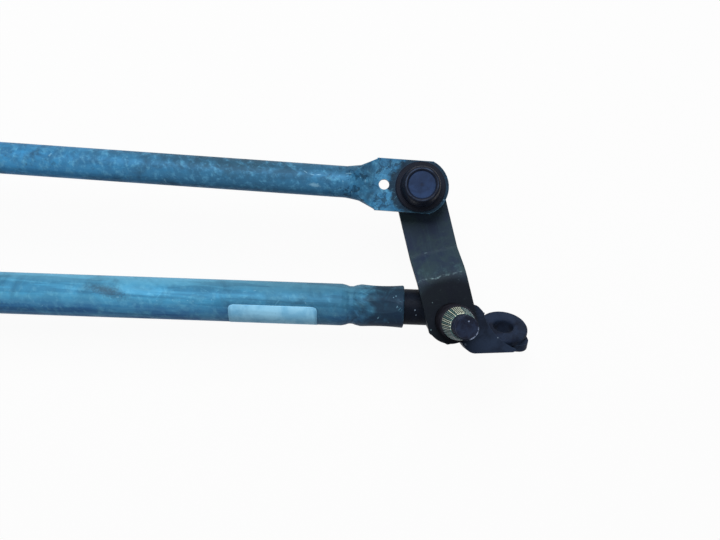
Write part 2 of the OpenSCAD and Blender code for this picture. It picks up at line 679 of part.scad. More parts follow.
// Motor plate, stamped, with a turned-down rim round the motor and a mounting tab bent down
corner_r = 10;            // radius of the plate's corners at the tube
plate_back = 30;          // how far the plate reaches past the tube axis
rim_t = 2.5;              // thickness of the rim
belt_steps = 30;
pilot_lip = 2;            // height of the collar round the pilot hole
strap_foot = 11;          // width of a strap's foot beside the tube
tab_root = 1.2;           // how much wider than the tab the plate is at its root
tab_low = grommet_d / 2 * sin(tab_tilt) + (plate_t / 2 + grommet_flange) * cos(tab_tilt);
tab_room = 0.9;           // clearance of the tab's grommet from the bend over it
tab_hang = grommet_d / 2 + tab_room - plate_t * sin(tab_tilt);
z_tab = min(z_rest + tab_low, z_plate - plate_t - tab_hang * sin(tab_tilt));   // middle of the tab's hole
tab_rise = (z_plate - plate_t - z_tab) / sin(tab_tilt);
module on_plate(height = z_plate) { along_tube(-motor_along, height) children(); }
module in_tab() {
    on_plate(z_tab) translate([0, tab_reach, 0]) rotate([-tab_tilt, 0, 0]) children();
}
module plate_plan(inset) {
    corner = [plate_half - corner_r, plate_back - corner_r];
    polygon(belt([
        [corner.x, corner.y, corner_r - inset], [-corner.x, corner.y, corner_r - inset],
        [0, -motor_reach, plate_r - inset]
    ], belt_steps));
}
module motor_plate() {
    strip_end = tab_reach - tab_rise * cos(tab_tilt) + 0.3;
    color("LightSteelBlue") difference() {
        union() {
            difference() {
                on_plate(z_rest) linear_extrude(z_plate - z_rest) {
                    plate_plan(0);
                    translate([-tab_r - tab_root, 0]) square([(tab_r + tab_root) * 2, strip_end]);
                }
                // hollow under the plate, open towards the tube so that the rim goes round the motor only
                on_plate(z_rest - 1) linear_extrude(z_plate - plate_t - z_rest + 1) {
                    plate_plan(rim_t);
                    translate([-plate_half * 2, -motor_reach])
                        square([plate_half * 4, motor_reach + tab_reach]);
                }
            }
            on_plate(z_plate - plate_t / 2) translate([0, -motor_reach, 0])
                cylinder(d = pilot_d + 2 * plate_t, h = plate_t / 2 + pilot_lip);
            // mounting tab
            in_tab() translate([0, 0, -plate_t / 2]) linear_extrude(plate_t) {
                circle(r = tab_r);
                translate([-tab_r, 0]) mirror([0, 1]) square([tab_r * 2, tab_rise + plate_t * 0.6]);
            }
        }
        on_plate(z_rest) translate([0, -motor_reach, 0]) {
            cylinder(d = pilot_d, h = z_plate - z_rest + pilot_lip + 1);
            for (turn = [30:120:270]) rotate([0, 0, turn])
                translate([motor_pcd / 2, 0, 0]) cylinder(d = motor_hole_d, h = z_plate - z_rest + 1);
        }
        for (at = [-strap_at, strap_at], side = [-1, 1]) on_plate(z_plate - plate_t - 1)
            translate([at, side * rivet_off, 0]) cylinder(d = rivet_d, h = plate_t + 2);
        in_tab() cylinder(d = grommet_seat_d, h = plate_t * 4, center = true);
    }
}

// Straps that hold the tube to the plate, and their rivets
rivet_off = tube_d / 2 + strap_t + strap_foot / 2;
module tube_strap(at) {
    r = tube_d / 2;
    color("Silver") on_plate() translate([at, 0, 0]) difference() {
        rotate([90, 0, 90]) linear_extrude(strap_w, center = true) difference() {
            union() {
                translate([0, r]) circle(r = r + strap_t);
                translate([-r - strap_t, 0]) square([2 * (r + strap_t), r]);
                translate([-r - strap_t - strap_foot, 0]) square([2 * (r + strap_t + strap_foot), strap_t]);
            }
            translate([0, r]) circle(r = r);
            translate([-r, -1]) square([2 * r, r + 1]);
            translate([-r * 3, -r * 2]) square([r * 6, r * 2]);
        }
        for (side = [-1, 1]) translate([0, side * rivet_off, -1]) cylinder(d = rivet_d, h = strap_t + 2);
    }
}
module right_tube_strap() { tube_strap(strap_at); }
module left_tube_strap() { tube_strap(-strap_at); }
module strap_rivets() {
    r = rivet_d / 2;
    color("Gray") for (at = [-strap_at, strap_at], side = [-1, 1])
        on_plate() translate([at, side * rivet_off, 0]) rotate_extrude() polygon([
            [0, -plate_t - 1.6], [r + 0.8, -plate_t - 1.6], [r * 1.8, -plate_t - 0.6],
            [r * 1.8, -plate_t], [r, -plate_t],
            [r, strap_t], [r * 1.9, strap_t], [r * 1.7, strap_t + 1.2], [r, strap_t + 2], [0, strap_t + 2]
        ]);
}

main_tube();
right_pivot_housing();
left_pivot_housing();
right_outer_bush();
right_inner_bush();
left_outer_bush();
left_inner_bush();
right_shaft_seal();
left_shaft_seal();
right_ear_grommet();
left_ear_grommet();
plate_grommet();
motor_plate();
right_tube_strap();
left_tube_strap();
strap_rivets();
right_shaft();
right_crank();
right_ball_stud();
right_thrust_washer();
right_inner_washer();
right_retaining_ring();
left_shaft();
left_crank();
left_ball_stud();
left_drive_stud();
left_thrust_washer();
left_inner_washer();
left_retaining_ring();
tandem_rod();
tandem_right_socket();
tandem_left_socket();
drive_rod();
drive_left_socket();
drive_motor_socket();
motor_crank();
motor_ball_stud();
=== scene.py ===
import math
import bpy
import bmesh
from mathutils import Matrix, Vector
from mathutils.bvhtree import BVHTree


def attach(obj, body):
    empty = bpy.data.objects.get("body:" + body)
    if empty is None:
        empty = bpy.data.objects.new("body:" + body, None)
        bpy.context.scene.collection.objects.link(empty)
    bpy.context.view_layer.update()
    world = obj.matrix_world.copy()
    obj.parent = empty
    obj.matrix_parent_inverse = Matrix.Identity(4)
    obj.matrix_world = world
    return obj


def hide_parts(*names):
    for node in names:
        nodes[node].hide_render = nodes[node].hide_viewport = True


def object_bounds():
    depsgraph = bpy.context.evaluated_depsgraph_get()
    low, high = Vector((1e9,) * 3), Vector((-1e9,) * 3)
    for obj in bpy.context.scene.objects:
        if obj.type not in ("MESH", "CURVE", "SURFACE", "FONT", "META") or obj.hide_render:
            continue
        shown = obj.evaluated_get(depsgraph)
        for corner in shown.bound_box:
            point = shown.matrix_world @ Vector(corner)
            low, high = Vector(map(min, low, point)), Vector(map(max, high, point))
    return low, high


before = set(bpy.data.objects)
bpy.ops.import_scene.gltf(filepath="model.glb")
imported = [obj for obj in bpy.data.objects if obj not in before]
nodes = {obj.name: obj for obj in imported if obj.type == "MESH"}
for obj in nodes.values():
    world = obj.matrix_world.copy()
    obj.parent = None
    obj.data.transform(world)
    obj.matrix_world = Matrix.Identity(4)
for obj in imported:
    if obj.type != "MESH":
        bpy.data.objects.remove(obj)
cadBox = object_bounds()
scene = bpy.context.scene
mm = 0.001
print("frame loaded:", len(nodes), "nodes")

# where things are, in mm, the same values as the solids
layout = {
    "pivotSpacing": 500.0,
    "crankAngle": 107.5,      # degrees from the line of the pivots
    "tubeSlant": 2.0,         # degrees
    "tubeOffset": 4.8,
    "tubeRadius": 10.0,
    "tubeGap": 22.0,          # from a pivot axis to the end of the tube
    "tubeZ": -58.0,
    "coneHeight": 17.0,
}
rightPivot = Vector((0, 0, 0))
leftPivot = Vector((-layout["pivotSpacing"], 0, 0)) * mm
tubeMiddle = layout["pivotSpacing"] / 2
tubeReach = tubeMiddle - layout["tubeGap"]      # from the middle of the tube to its mouth
tubeSlant = math.radians(layout["tubeSlant"])
crankTurn = math.radians(layout["crankAngle"])
crankDirection = Vector((math.cos(crankTurn), math.sin(crankTurn), 0))
crankAcross = Vector((math.sin(crankTurn), -math.cos(crankTurn), 0))
inPlan = Vector((1, 1, 0))      # drops the height of a point


def srgb(r, g, b):
    # 0-255 screen colour to the linear colour that sockets take
    def channel(c):
        c /= 255.0
        return c / 12.92 if c <= 0.04045 else ((c + 0.055) / 1.055) ** 2.4
    return (channel(r), channel(g), channel(b), 1.0)


def metres(span):
    return [value * mm for value in span]


# small helpers for node trees; a span is where a change begins and where it ends
def feed(tree, socket, value):
    if isinstance(value, (int, float, tuple, Vector)):
        socket.default_value = value
    else:
        tree.links.new(value, socket)


def calc(tree, operation, a, b=None, c=None):
    node = tree.nodes.new("ShaderNodeMath")
    node.operation = operation
    for socket, value in zip(node.inputs, (a, b, c)):
        if value is not None:
            feed(tree, socket, value)
    return node.outputs[0]


def times(tree, a, b):
    return calc(tree, "MULTIPLY", a, b)


def linear(tree, source, slope, base):
    return calc(tree, "MULTIPLY_ADD", source, slope, base)


def inverse(tree, source):
    return calc(tree, "SUBTRACT", 1.0, source)


def largest(tree, first, *others):
    for other in others:
        first = calc(tree, "MAXIMUM", first, other)
    return first


def strongest(tree, *pairs):
    # the largest of some masks, each times its own amount
    return largest(tree, *[times(tree, mask, amount) for mask, amount in pairs])


def weighted(tree, masks, amounts, base=0.0):
    # the base plus each named mask times its amount
    total = base
    for name, amount in amounts.items():
        total = linear(tree, masks[name], amount, total)
    return total


def vectorCalc(tree, operation, a, b=None, output="Vector"):
    node = tree.nodes.new("ShaderNodeVectorMath")
    node.operation = operation
    feed(tree, node.inputs[0], a)
    if b is not None:
        feed(tree, node.inputs[1], b)
    return node.outputs[output]


def mixColor(tree, factor, a, b):
    node = tree.nodes.new("ShaderNodeMix")
    node.data_type = "RGBA"
    for place, value in ((0, factor), (6, a), (7, b)):      # the sockets of a colour mix
        feed(tree, node.inputs[place], value)
    return node.outputs[2]


def coat(tree, color, mask, over, amount=None):
    # lays a colour over another where the mask is
    return mixColor(tree, mask if amount is None else times(tree, mask, amount), color, over)


def ramp(tree, source, low, high):
    # 0 below low, 1 above high, smooth between
    node = tree.nodes.new("ShaderNodeMapRange")
    node.interpolation_type = "SMOOTHSTEP"
    node.inputs["From Min"].default_value = low
    node.inputs["From Max"].default_value = high
    tree.links.new(source, node.inputs["Value"])
    return node.outputs["Result"]


def fade(tree, source, low, high):
    # 1 below low, 0 above high
    return inverse(tree, ramp(tree, source, low, high))


def noise(tree, vector, scale, detail, rough=0.55, distortion=0.0, output="Fac"):
    node = tree.nodes.new("ShaderNodeTexNoise")
    settings = {"Scale": scale, "Detail": detail, "Roughness": rough, "Distortion": distortion}
    for key, value in settings.items():
        feed(tree, node.inputs[key], value)
    tree.links.new(vector, node.inputs["Vector"])
    return node.outputs[output]


def waver(tree, vector, **settings):
    # noise about zero
    return calc(tree, "SUBTRACT", noise(tree, vector, **settings), 0.5)


def patches(tree, vector, span, **settings):
    # noise with its span drawn out to 0-1
    return ramp(tree, noise(tree, vector, **settings), *span)


def mapped(tree, vector, stretch, turn=(0.0, 0.0, 0.0)):
    # turned first and then stretched
    if any(turn):
        spin = tree.nodes.new("ShaderNodeMapping")
        spin.inputs["Rotation"].default_value = turn
        tree.links.new(vector, spin.inputs["Vector"])
        vector = spin.outputs["Vector"]
    return vectorCalc(tree, "MULTIPLY", vector, Vector(stretch))


def objectPoint(tree):
    return tree.nodes.new("ShaderNodeTexCoord").outputs["Object"]


def parts(tree, vector):
    node = tree.nodes.new("ShaderNodeSeparateXYZ")
    tree.links.new(vector, node.inputs[0])
    return node.outputs


def surfaceNormal(tree):
    return tree.nodes.new("ShaderNodeNewGeometry").outputs["Normal"]


def flatDistance(tree, center):
    # distance from an upright line through center
    offset = vectorCalc(tree, "SUBTRACT", objectPoint(tree), center)
    return vectorCalc(tree, "LENGTH", vectorCalc(tree, "MULTIPLY", offset, inPlan), output="Value")


def alongTube(tree):
    # distance from the middle of the tube, along X
    return calc(tree, "ABSOLUTE", calc(tree, "ADD", parts(tree, objectPoint(tree))["X"], tubeMiddle * mm))


def lineAt(tree, value, place, span):
    # 1 on a line at the place, gone at the end of the span; mm
    gap = calc(tree, "ABSOLUTE", calc(tree, "SUBTRACT", value, place * mm))
    return fade(tree, gap, *metres(span))


# the photograph's camera looks straight down
cameraLook = {
    "place": (-0.0439, 0.0201, 0.346), "turn": 4.0,      # metres, degrees about Z
    "lens": 42.17, "sensor": 36.0, "clipStart": 0.01,      # mm, mm, metres
    "picture": (720, 540),      # pixels
}


def seenAt(name, marks):
    # where a pixel of the photograph shows a node; a mark is its pixel across and down, then its sizes
    mesh = nodes[name].data
    corners = [corner.co for corner in mesh.vertices]
    skin = BVHTree.FromPolygons(corners, [face.vertices for face in mesh.polygons])
    width, height = cameraLook["picture"]
    pixel = cameraLook["sensor"] / cameraLook["lens"] / width
    turned = Matrix.Rotation(math.radians(cameraLook["turn"]), 3, "Z")
    places = []
    for across, down, *sizes in marks:
        ray = Vector(((across - width / 2) * pixel, (height / 2 - down) * pixel, -1.0))
        place = skin.ray_cast(Vector(cameraLook["place"]), turned @ ray)[0]
        places.append((*(place / mm), *sizes))
    return places


# marks in known places: x, y, z, half length and half width in mm, turn about Z in degrees
spotShape = {"rag": {"scale": 1100.0, "detail": 3.0, "rough": 0.6}, "leastDepth": 1.5}


def spots(tree, places, fray, core):
    # frayed at the edge, full inside the core
    point = objectPoint(tree)
    rag = waver(tree, point, **spotShape["rag"])
    masks = []
    for x, y, z, length, width, turn in places:
        offset = vectorCalc(tree, "SUBTRACT", point, Vector((x, y, z)) * mm)
        depth = max(width, spotShape["leastDepth"])
        reach = [1 / (size * mm) for size in (length, width, depth)]
        inside = mapped(tree, offset, reach, (0.0, 0.0, -math.radians(turn)))
        size = vectorCalc(tree, "LENGTH", inside, output="Value")
        masks.append(fade(tree, linear(tree, rag, 2 * fray, size), core, 1.0))
    return largest(tree, *masks)


def centerOf(name):
    corners = [Vector(corner) for corner in nodes[name].bound_box]
    return sum(corners, Vector()) / len(corners)


# shared effects
def newGroup(name, inputs, outputs):
    tree = bpy.data.node_groups.new(name, "ShaderNodeTree")
    for label, value in inputs.items():
        socket = tree.interface.new_socket(label, in_out="INPUT", socket_type="NodeSocketFloat")
        socket.default_value = value
    for label in outputs:
        tree.interface.new_socket(label, in_out="OUTPUT", socket_type="NodeSocketFloat")
    return tree, tree.nodes.new("NodeGroupInput").outputs, tree.nodes.new("NodeGroupOutput").inputs


# patches, small flecks, streaks along X and fine grain
mottleLook = {
    "cloud": {"span": (0.36, 0.64), "detail": 6.0, "rough": 0.62, "distortion": 0.5},
    "fleck": {"span": (0.46, 0.74), "detail": 4.0, "rough": 0.62, "distortion": 0.25},
    "fleckStretch": (0.8, 1.0, 1.0), "fleckTurn": (0.4, 0.3, 0.9),
    "streak": {"span": (0.35, 0.72), "scale": 1.0, "detail": 3.0, "rough": 0.5},
    "streakStretch": (22.0, 300.0, 300.0),
    "grain": {"scale": 1500.0, "detail": 2.0, "rough": 0.6},
}


def makeMottle():
    look = mottleLook
    outputs = ("Cloud", "Fleck", "Streak", "Grain")
    tree, ins, outs = newGroup("mottle", {"Patch": 130.0, "Fleck": 420.0}, outputs)
    point = objectPoint(tree)
    turned = mapped(tree, point, look["fleckStretch"], look["fleckTurn"])
    drawn = mapped(tree, point, look["streakStretch"])
    feed(tree, outs["Cloud"], patches(tree, point, scale=ins["Patch"], **look["cloud"]))
    feed(tree, outs["Fleck"], patches(tree, turned, scale=ins["Fleck"], **look["fleck"]))
    feed(tree, outs["Streak"], patches(tree, drawn, **look["streak"]))
    feed(tree, outs["Grain"], noise(tree, point, **look["grain"]))
    return tree


# thin scratches in two directions and small chips
scuffLook = {
    "scratch": {"span": (0.70, 0.78), "scale": 1.0, "detail": 1.0, "rough": 0.4},
    "directions": (((60.0, 1500.0, 1500.0), (0.3, 0.2, 0.42)),       # stretch, turn
                   ((80.0, 1300.0, 1300.0), (0.3, 0.2, -0.91))),
    "where": {"span": (0.48, 0.66), "scale": 70.0, "detail": 3.0},
    "wobble": {"scale": 700.0, "detail": 2.0, "rough": 0.5, "output": "Color"}, "wobbleBy": 3.0,      # mm
    "chipScale": 210.0, "chipSize": (0.09, 0.15), "chipChoice": (0.86, 0.90),
}


def makeScuffs():
    look = scuffLook
    tree, ins, outs = newGroup("scuffs", {"Density": 0.5, "Chips": 0.5}, ("Scratch", "Chip"))
    point = objectPoint(tree)
    drawn = [mapped(tree, point, *direction) for direction in look["directions"]]
    lines = [patches(tree, vector, **look["scratch"]) for vector in drawn]
    scratch = times(tree, largest(tree, *lines), patches(tree, point, **look["where"]))
    feed(tree, outs["Scratch"], times(tree, scratch, ins["Density"]))
    shift = Vector((1, 1, 1)) * look["wobbleBy"] * mm
    shift = vectorCalc(tree, "MULTIPLY", noise(tree, point, **look["wobble"]), shift)
    cells = tree.nodes.new("ShaderNodeTexVoronoi")
    cells.inputs["Scale"].default_value = look["chipScale"]
    tree.links.new(vectorCalc(tree, "ADD", point, shift), cells.inputs["Vector"])
    chosen = tree.nodes.new("ShaderNodeSeparateColor")
    tree.links.new(cells.outputs["Color"], chosen.inputs["Color"])
    small = fade(tree, cells.outputs["Distance"], *look["chipSize"])
    chip = times(tree, small, ramp(tree, chosen.outputs["Red"], *look["chipChoice"]))
    feed(tree, outs["Chip"], times(tree, chip, ins["Chips"]))
    return tree


# painted shade in the corners, from ambient occlusion, and dirt in soft patches
grimeAndShadeLook = {
    "samples": 6, "corner": (0.12, 0.70),
    "patch": {"span": (0.50, 0.70), "scale": 55.0, "detail": 6.0, "rough": 0.65, "distortion": 0.6},
}


def makeGrimeAndShade():
    look = grimeAndShadeLook
    tree, ins, outs = newGroup("grime", {"Reach": 0.006, "Patches": 0.5}, ("Corner", "Patch"))
    hollow = tree.nodes.new("ShaderNodeAmbientOcclusion")
    hollow.samples = look["samples"]
    tree.links.new(ins["Reach"], hollow.inputs["Distance"])
    feed(tree, outs["Corner"], ramp(tree, inverse(tree, hollow.outputs["AO"]), *look["corner"]))
    feed(tree, outs["Patch"], times(tree, patches(tree, objectPoint(tree), **look["patch"]), ins["Patches"]))
    return tree


# worn edges, broken up by noise
wearLook = {"samples": 6, "breaks": {"scale": 420.0, "detail": 4.0, "rough": 0.65}, "span": (0.05, 0.30)}


def makeEdgeWear():
    look = wearLook
    tree, ins, outs = newGroup("edgeWear", {"Radius": 0.0008, "Break": 0.5}, ("Edge",))
    bevel = tree.nodes.new("ShaderNodeBevel")
    bevel.samples = look["samples"]
    tree.links.new(ins["Radius"], bevel.inputs["Radius"])
    straight = vectorCalc(tree, "DOT_PRODUCT", bevel.outputs["Normal"], surfaceNormal(tree), "Value")
    broken = times(tree, waver(tree, objectPoint(tree), **look["breaks"]), ins["Break"])
    feed(tree, outs["Edge"], ramp(tree, calc(tree, "ADD", inverse(tree, straight), broken), *look["span"]))
    return tree


effects = {"mottle": makeMottle(), "scuffs": makeScuffs(), "grime": makeGrimeAndShade(), "edgeWear": makeEdgeWear()}
print("shared effects ready")


def placeEffects(tree, look):
    # the effects that the look has values for; gives their outputs by name
    masks = {}
    for name, group in effects.items():
        if name in look:
            node = tree.nodes.new("ShaderNodeGroup")
            node.node_tree = group
            for key, value in look[name].items():
                node.inputs[key].default_value = value
            masks.update({socket.name: socket for socket in node.outputs})
    return masks


def newMaterial(name, look):
    material = bpy.data.materials.new(name)
    material.use_nodes = True
    shader = material.node_tree.nodes["Principled BSDF"]
    shader.inputs["Metallic"].default_value = look["metallic"]
    shader.inputs["Specular IOR Level"].default_value = look["specular"]
    return material, material.node_tree, shader


def makeFinish(name, look, paint, *more):
    # paint gives the colour and may add masks; rough, height and metal say how much each mask does
    material, tree, shader = newMaterial(name, look)
    masks = placeEffects(tree, look)
    tree.links.new(paint(tree, look, masks, *more), shader.inputs["Base Color"])
    tree.links.new(weighted(tree, masks, look["rough"], look["roughBase"]), shader.inputs["Roughness"])
    if "metal" in look:
        tree.links.new(weighted(tree, masks, look["metal"]), shader.inputs["Metallic"])
    bump = tree.nodes.new("ShaderNodeBump")
    for key, value in look["bump"].items():
        bump.inputs[key].default_value = value
    tree.links.new(weighted(tree, masks, look["height"]), bump.inputs["Height"])
    tree.links.new(bump.outputs["Normal"], shader.inputs["Normal"])
    return material


# zinc-plated tube, rods and sheet
zincLook = {
    "common": {
        "metallic": 0.15, "specular": 0.08, "speck": srgb(142, 190, 216),
        "scuffs": {"Density": 0.5, "Chips": 0.30}, "edgeWear": {"Radius": 0.0006, "Break": 0.5},
        # faces turned to -Y, away from the lamp, get the side colour: painted shade on the tube and sheet,
        # painted light on the rod; faces turned to +Y get a painted highlight in the pale colour
        "sideSpan": (-0.06, 0.62), "sideClouds": (-0.5, 1.25),
        "crownSpan": (0.45, 0.95), "dragSpan": (0.0, 0.22),
        "corners": 0.85, "scratches": 0.5, "edges": 0.25, "rubs": 0.48, "rubEdge": (0.6, 0.25),
        "rough": {"Cloud": -0.12, "Patch": 0.18}, "roughBase": 0.56,
        "height": {"Cloud": 0.5, "Grain": 0.35}, "bump": {"Strength": 0.30, "Distance": 0.0004},
    },
    "tube": {
        "mid": srgb(64, 140, 180), "pale": srgb(116, 186, 214), "deep": srgb(60, 126, 162),
        "stain": srgb(38, 62, 86), "side": srgb(44, 92, 148), "shade": 0.60, "crown": 0.45,
        "mottle": {"Patch": 95.0, "Fleck": 330.0}, "grime": {"Reach": 0.009, "Patches": 0.34},
        "flecks": 0.30, "streaks": 0.22, "drags": 0.24,
    },
    "rod": {
        "mid": srgb(54, 128, 176), "pale": srgb(118, 186, 216), "deep": srgb(45, 100, 140),
        "stain": srgb(40, 58, 76), "side": srgb(66, 138, 190), "shade": 0.55, "crown": 0.05,
        "mottle": {"Patch": 170.0, "Fleck": 380.0}, "grime": {"Reach": 0.009, "Patches": 0.50},
        "flecks": 0.36, "streaks": 0.06, "drags": 0.12,
    },
    "sheet": {
        "mid": srgb(60, 124, 160), "pale": srgb(116, 176, 202), "deep": srgb(50, 98, 128),
        "stain": srgb(38, 58, 72), "side": srgb(42, 84, 132), "shade": 0.15, "crown": 0.05,
        "mottle": {"Patch": 70.0, "Fleck": 260.0}, "grime": {"Reach": 0.009, "Patches": 0.50},
        "flecks": 0.45, "streaks": 0.10, "drags": 0.10,
    },
}


def paintZinc(tree, look, masks, darken=None, rubs=()):
    # darken adds a mask of blackened places and gives their colour, rubs are bright marks
    color = mixColor(tree, masks["Cloud"], look["deep"], look["mid"])
    # painted light: a tone of its own on the side towards -Y, away from the lamp (painted shade on the tube
    # and sheet, painted light on the rod), and a painted highlight in the pale colour on the other side,
    # towards the lamp
    facing = parts(tree, surfaceNormal(tree))["Y"]
    side = ramp(tree, times(tree, facing, -1.0), *look["sideSpan"])
    side = times(tree, side, linear(tree, masks["Cloud"], *look["sideClouds"]))
    color = coat(tree, color, side, look["side"], look["shade"])
    color = coat(tree, color, ramp(tree, facing, *look["crownSpan"]), look["pale"], look["crown"])
    color = coat(tree, color, masks["Fleck"], look["pale"], look["flecks"])
    color = coat(tree, color, masks["Streak"], look["pale"], look["streaks"])
    color = coat(tree, color, fade(tree, masks["Streak"], *look["dragSpan"]), look["stain"], look["drags"])
    color = coat(tree, color, masks["Patch"], look["stain"])
    if darken:
        black = darken(tree, masks)
        color = coat(tree, color, masks["Dark"], black)
    # painted shade: darker in the corners, in the stain colour
    color = coat(tree, color, masks["Corner"], look["stain"], look["corners"])
    color = coat(tree, color, masks["Scratch"], look["pale"], look["scratches"])
    color = coat(tree, color, masks["Edge"], look["pale"], look["edges"])
    color = coat(tree, color, masks["Chip"], look["speck"])
    if rubs:
        color = coat(tree, color, spots(tree, rubs, *look["rubEdge"]), look["speck"], look["rubs"])
    return color


# both ends of the tube are blackened where they were crimped on, and a grey smear crosses it
tubeEndLook = {
    "black": srgb(24, 34, 50), "blacked": 0.92, "film": 0.42,
    "blackFrom": 40.0, "blackFull": 7.0, "filmFrom": 115.0,      # mm from the tube's mouth
    "blot": {"scale": 120.0, "detail": 5.0, "rough": 0.65, "distortion": 0.8}, "blotBy": 50.0,      # mm
    "lean": 0.45,      # how far the black runs on for each mm towards -Y
    "grey": srgb(50, 70, 88), "greySpan": (0.0, 0.1),
    "smear": (105.5, 290.5, 15.0, 4.2, -12.0), "smearEdge": (0.45, 0.0), "smeared": 0.85,
    "rubs": (
        (396.0, 296.0, 0.45, 0.4, 0), (397.0, 307.0, 0.9, 0.3, 70), (378.0, 318.0, 0.8, 0.3, 60),
        (393.5, 297.5, 0.35, 0.25, 0), (117.7, 297.1, 0.9, 0.25, 5), (156.7, 300.8, 0.5, 0.25, 0),
        (172.5, 299.9, 0.4, 0.3, 0), (179.0, 301.6, 0.6, 0.2, 30), (187.4, 300.4, 0.35, 0.25, 0),
        (193.2, 301.1, 0.5, 0.2, -20), (211.5, 299.9, 0.5, 0.25, 0), (42.3, 305.4, 0.4, 0.3, 0),
    ),
}


def tubeEnds(tree, masks):
    look = tubeEndLook
    along = alongTube(tree)
    place = linear(tree, waver(tree, objectPoint(tree), **look["blot"]), look["blotBy"] * mm, along)
    point = parts(tree, objectPoint(tree))
    side = linear(tree, point["X"], -math.tan(tubeSlant), point["Y"])
    side = calc(tree, "SUBTRACT", side, layout["tubeOffset"] * mm)
    place = linear(tree, side, -look["lean"], place)
    start, full, thin = [(tubeReach - look[key]) * mm for key in ("blackFrom", "blackFull", "filmFrom")]
    black = times(tree, ramp(tree, place, start, full), look["blacked"])
    film = times(tree, ramp(tree, along, thin, start), look["film"])
    smear = spots(tree, seenAt("main_tube", (look["smear"],)), *look["smearEdge"])
    smear = times(tree, smear, look["smeared"])
    masks["Dark"] = largest(tree, black, film, smear)
    return mixColor(tree, ramp(tree, smear, *look["greySpan"]), look["black"], look["grey"])


# the rods are greasy round their sockets and dusty further on; spans in mm from the ball's axis
rodEndLook = {
    "sockets": ("tandem_right_socket", "tandem_left_socket", "drive_left_socket", "drive_motor_socket"),
    "blot": {"scale": 210.0, "detail": 4.0, "rough": 0.6, "distortion": 0.6}, "blotBy": 12.0,      # mm
    "black": srgb(15, 20, 29), "blackSpan": (0.05, 0.4), "greaseSpan": (12.6, 17.5), "greased": 0.90,
    "blotch": {"span": (0.50, 0.61), "scale": 230.0, "detail": 6.0, "rough": 0.72, "distortion": 0.8},
    "blotchSpan": (33.6, 56.0), "blotched": 0.72,
    "dust": srgb(44, 66, 76), "filmSpan": (70.0, 200.0), "film": 0.50,
    # painted shade: the film is thicker on faces turned to +Y, towards the lamp
    "sideSpan": (-0.1, 0.6), "filmAndShadeOnLitSide": 0.72,
    "flatSpan": (45.0, 80.0), "flatFilm": 0.72, "fleckFilm": (-0.66, 1.08),
    "pit": {"span": (0.56, 0.70), "scale": 520.0, "detail": 4.0, "rough": 0.65, "distortion": 0.4},
    "pitted": 0.45,
    "rubs": (
        (305.6, 171.9, 1.6, 0.22, -31), (312.0, 174.4, 1.6, 0.22, -11), (318.6, 174.7, 1.6, 0.22, 5),
        (348.6, 173.4, 1.9, 0.25, 8), (314.5, 185.0, 3.4, 1.2, -8), (317.5, 184.0, 0.7, 0.4, 30),
        (199.8, 186.6, 1.6, 0.9, 0), (351.6, 192.0, 0.4, 0.4, 0), (360.5, 177.2, 0.6, 0.25, 0),
        (444.0, 200.0, 0.5, 0.35, 0),
    ),
}


def rodEnds(tree, masks):
    look = rodEndLook
    point = objectPoint(tree)
    near, *others = [flatDistance(tree, centerOf(name)) for name in look["sockets"]]
    for other in others:
        near = calc(tree, "MINIMUM", near, other)
    near = linear(tree, waver(tree, point, **look["blot"]), look["blotBy"] * mm, near)
    ring = fade(tree, near, *metres(look["greaseSpan"]))
    blotch = patches(tree, point, **look["blotch"])
    blotch = times(tree, blotch, fade(tree, near, *metres(look["blotchSpan"])))
    grease = strongest(tree, (ring, look["greased"]), (blotch, look["blotched"]))
    # a film of dust, thinner on the flattened end and on pale flecks; painted shade makes it thicker on the
    # side towards +Y, which faces the lamp
    side = ramp(tree, parts(tree, surfaceNormal(tree))["Y"], *look["sideSpan"])
    thick = linear(tree, side, look["filmAndShadeOnLitSide"] - look["film"], look["film"])
    away = ramp(tree, near, *metres(look["flatSpan"]))
    thick = times(tree, thick, linear(tree, away, 1.0 - look["flatFilm"], look["flatFilm"]))
    thick = times(tree, thick, linear(tree, masks["Fleck"], *look["fleckFilm"]))
    film = times(tree, thick, fade(tree, near, *metres(look["filmSpan"])))
    pit = times(tree, patches(tree, point, **look["pit"]), look["pitted"])
    masks["Dark"] = largest(tree, grease, film, pit)
    return mixColor(tree, ramp(tree, grease, *look["blackSpan"]), look["dust"], look["black"])


# black die casting
castingLook = {
    "black": srgb(22, 29, 42), "grey": srgb(36, 47, 66), "oil": srgb(12, 15, 22),
    "chip": srgb(118, 134, 152), "dust": srgb(60, 76, 98), "metallic": 0.0, "specular": 0.04,
    "mottle": {"Patch": 90.0}, "scuffs": {"Density": 0.35, "Chips": 0.5},
    "grime": {"Reach": 0.005}, "edgeWear": {"Radius": 0.0008, "Break": 0.6},
    "oilSpan": (8.0, 12.0), "oiled": 0.8,      # mm beyond the tube's mouth
    "corners": 0.6, "edges": 0.40, "scratches": 0.30, "chipEdge": (0.6, 0.3),
    "chips": ((415.0, 310.0, 0.35, 0.55, 0), (416.0, 315.0, 0.3, 0.45, 0), (498.0, 337.5, 0.6, 0.3, 40)),
    "rough": {"Grain": 0.25}, "roughBase": 0.36,
    "height": {"Chip": -1.2, "Grain": 0.8}, "bump": {"Strength": 0.5, "Distance": 0.0003},
}


def paintCasting(tree, look, masks):
    color = mixColor(tree, masks["Cloud"], look["black"], look["grey"])
    # darker along the spigot where the tube is pushed on, and painted shade in the corners, both in the oil
    # colour
    spigot = fade(tree, alongTube(tree), *[(tubeReach + edge) * mm for edge in look["oilSpan"]])
    spigotAndCornerDark = strongest(tree, (spigot, look["oiled"]), (masks["Corner"], look["corners"]))
    color = coat(tree, color, spigotAndCornerDark, look["oil"])
    # lighter on the edges: worn to the dust colour, and partly a painted highlight
    color = coat(tree, color, masks["Edge"], look["dust"], look["edges"])
    color = coat(tree, color, masks["Scratch"], look["dust"], look["scratches"])
    chips = spots(tree, seenAt("right_pivot_housing", look["chips"]), *look["chipEdge"])
    masks["Chip"] = largest(tree, masks["Chip"], chips)
    return coat(tree, color, masks["Chip"], look["chip"])


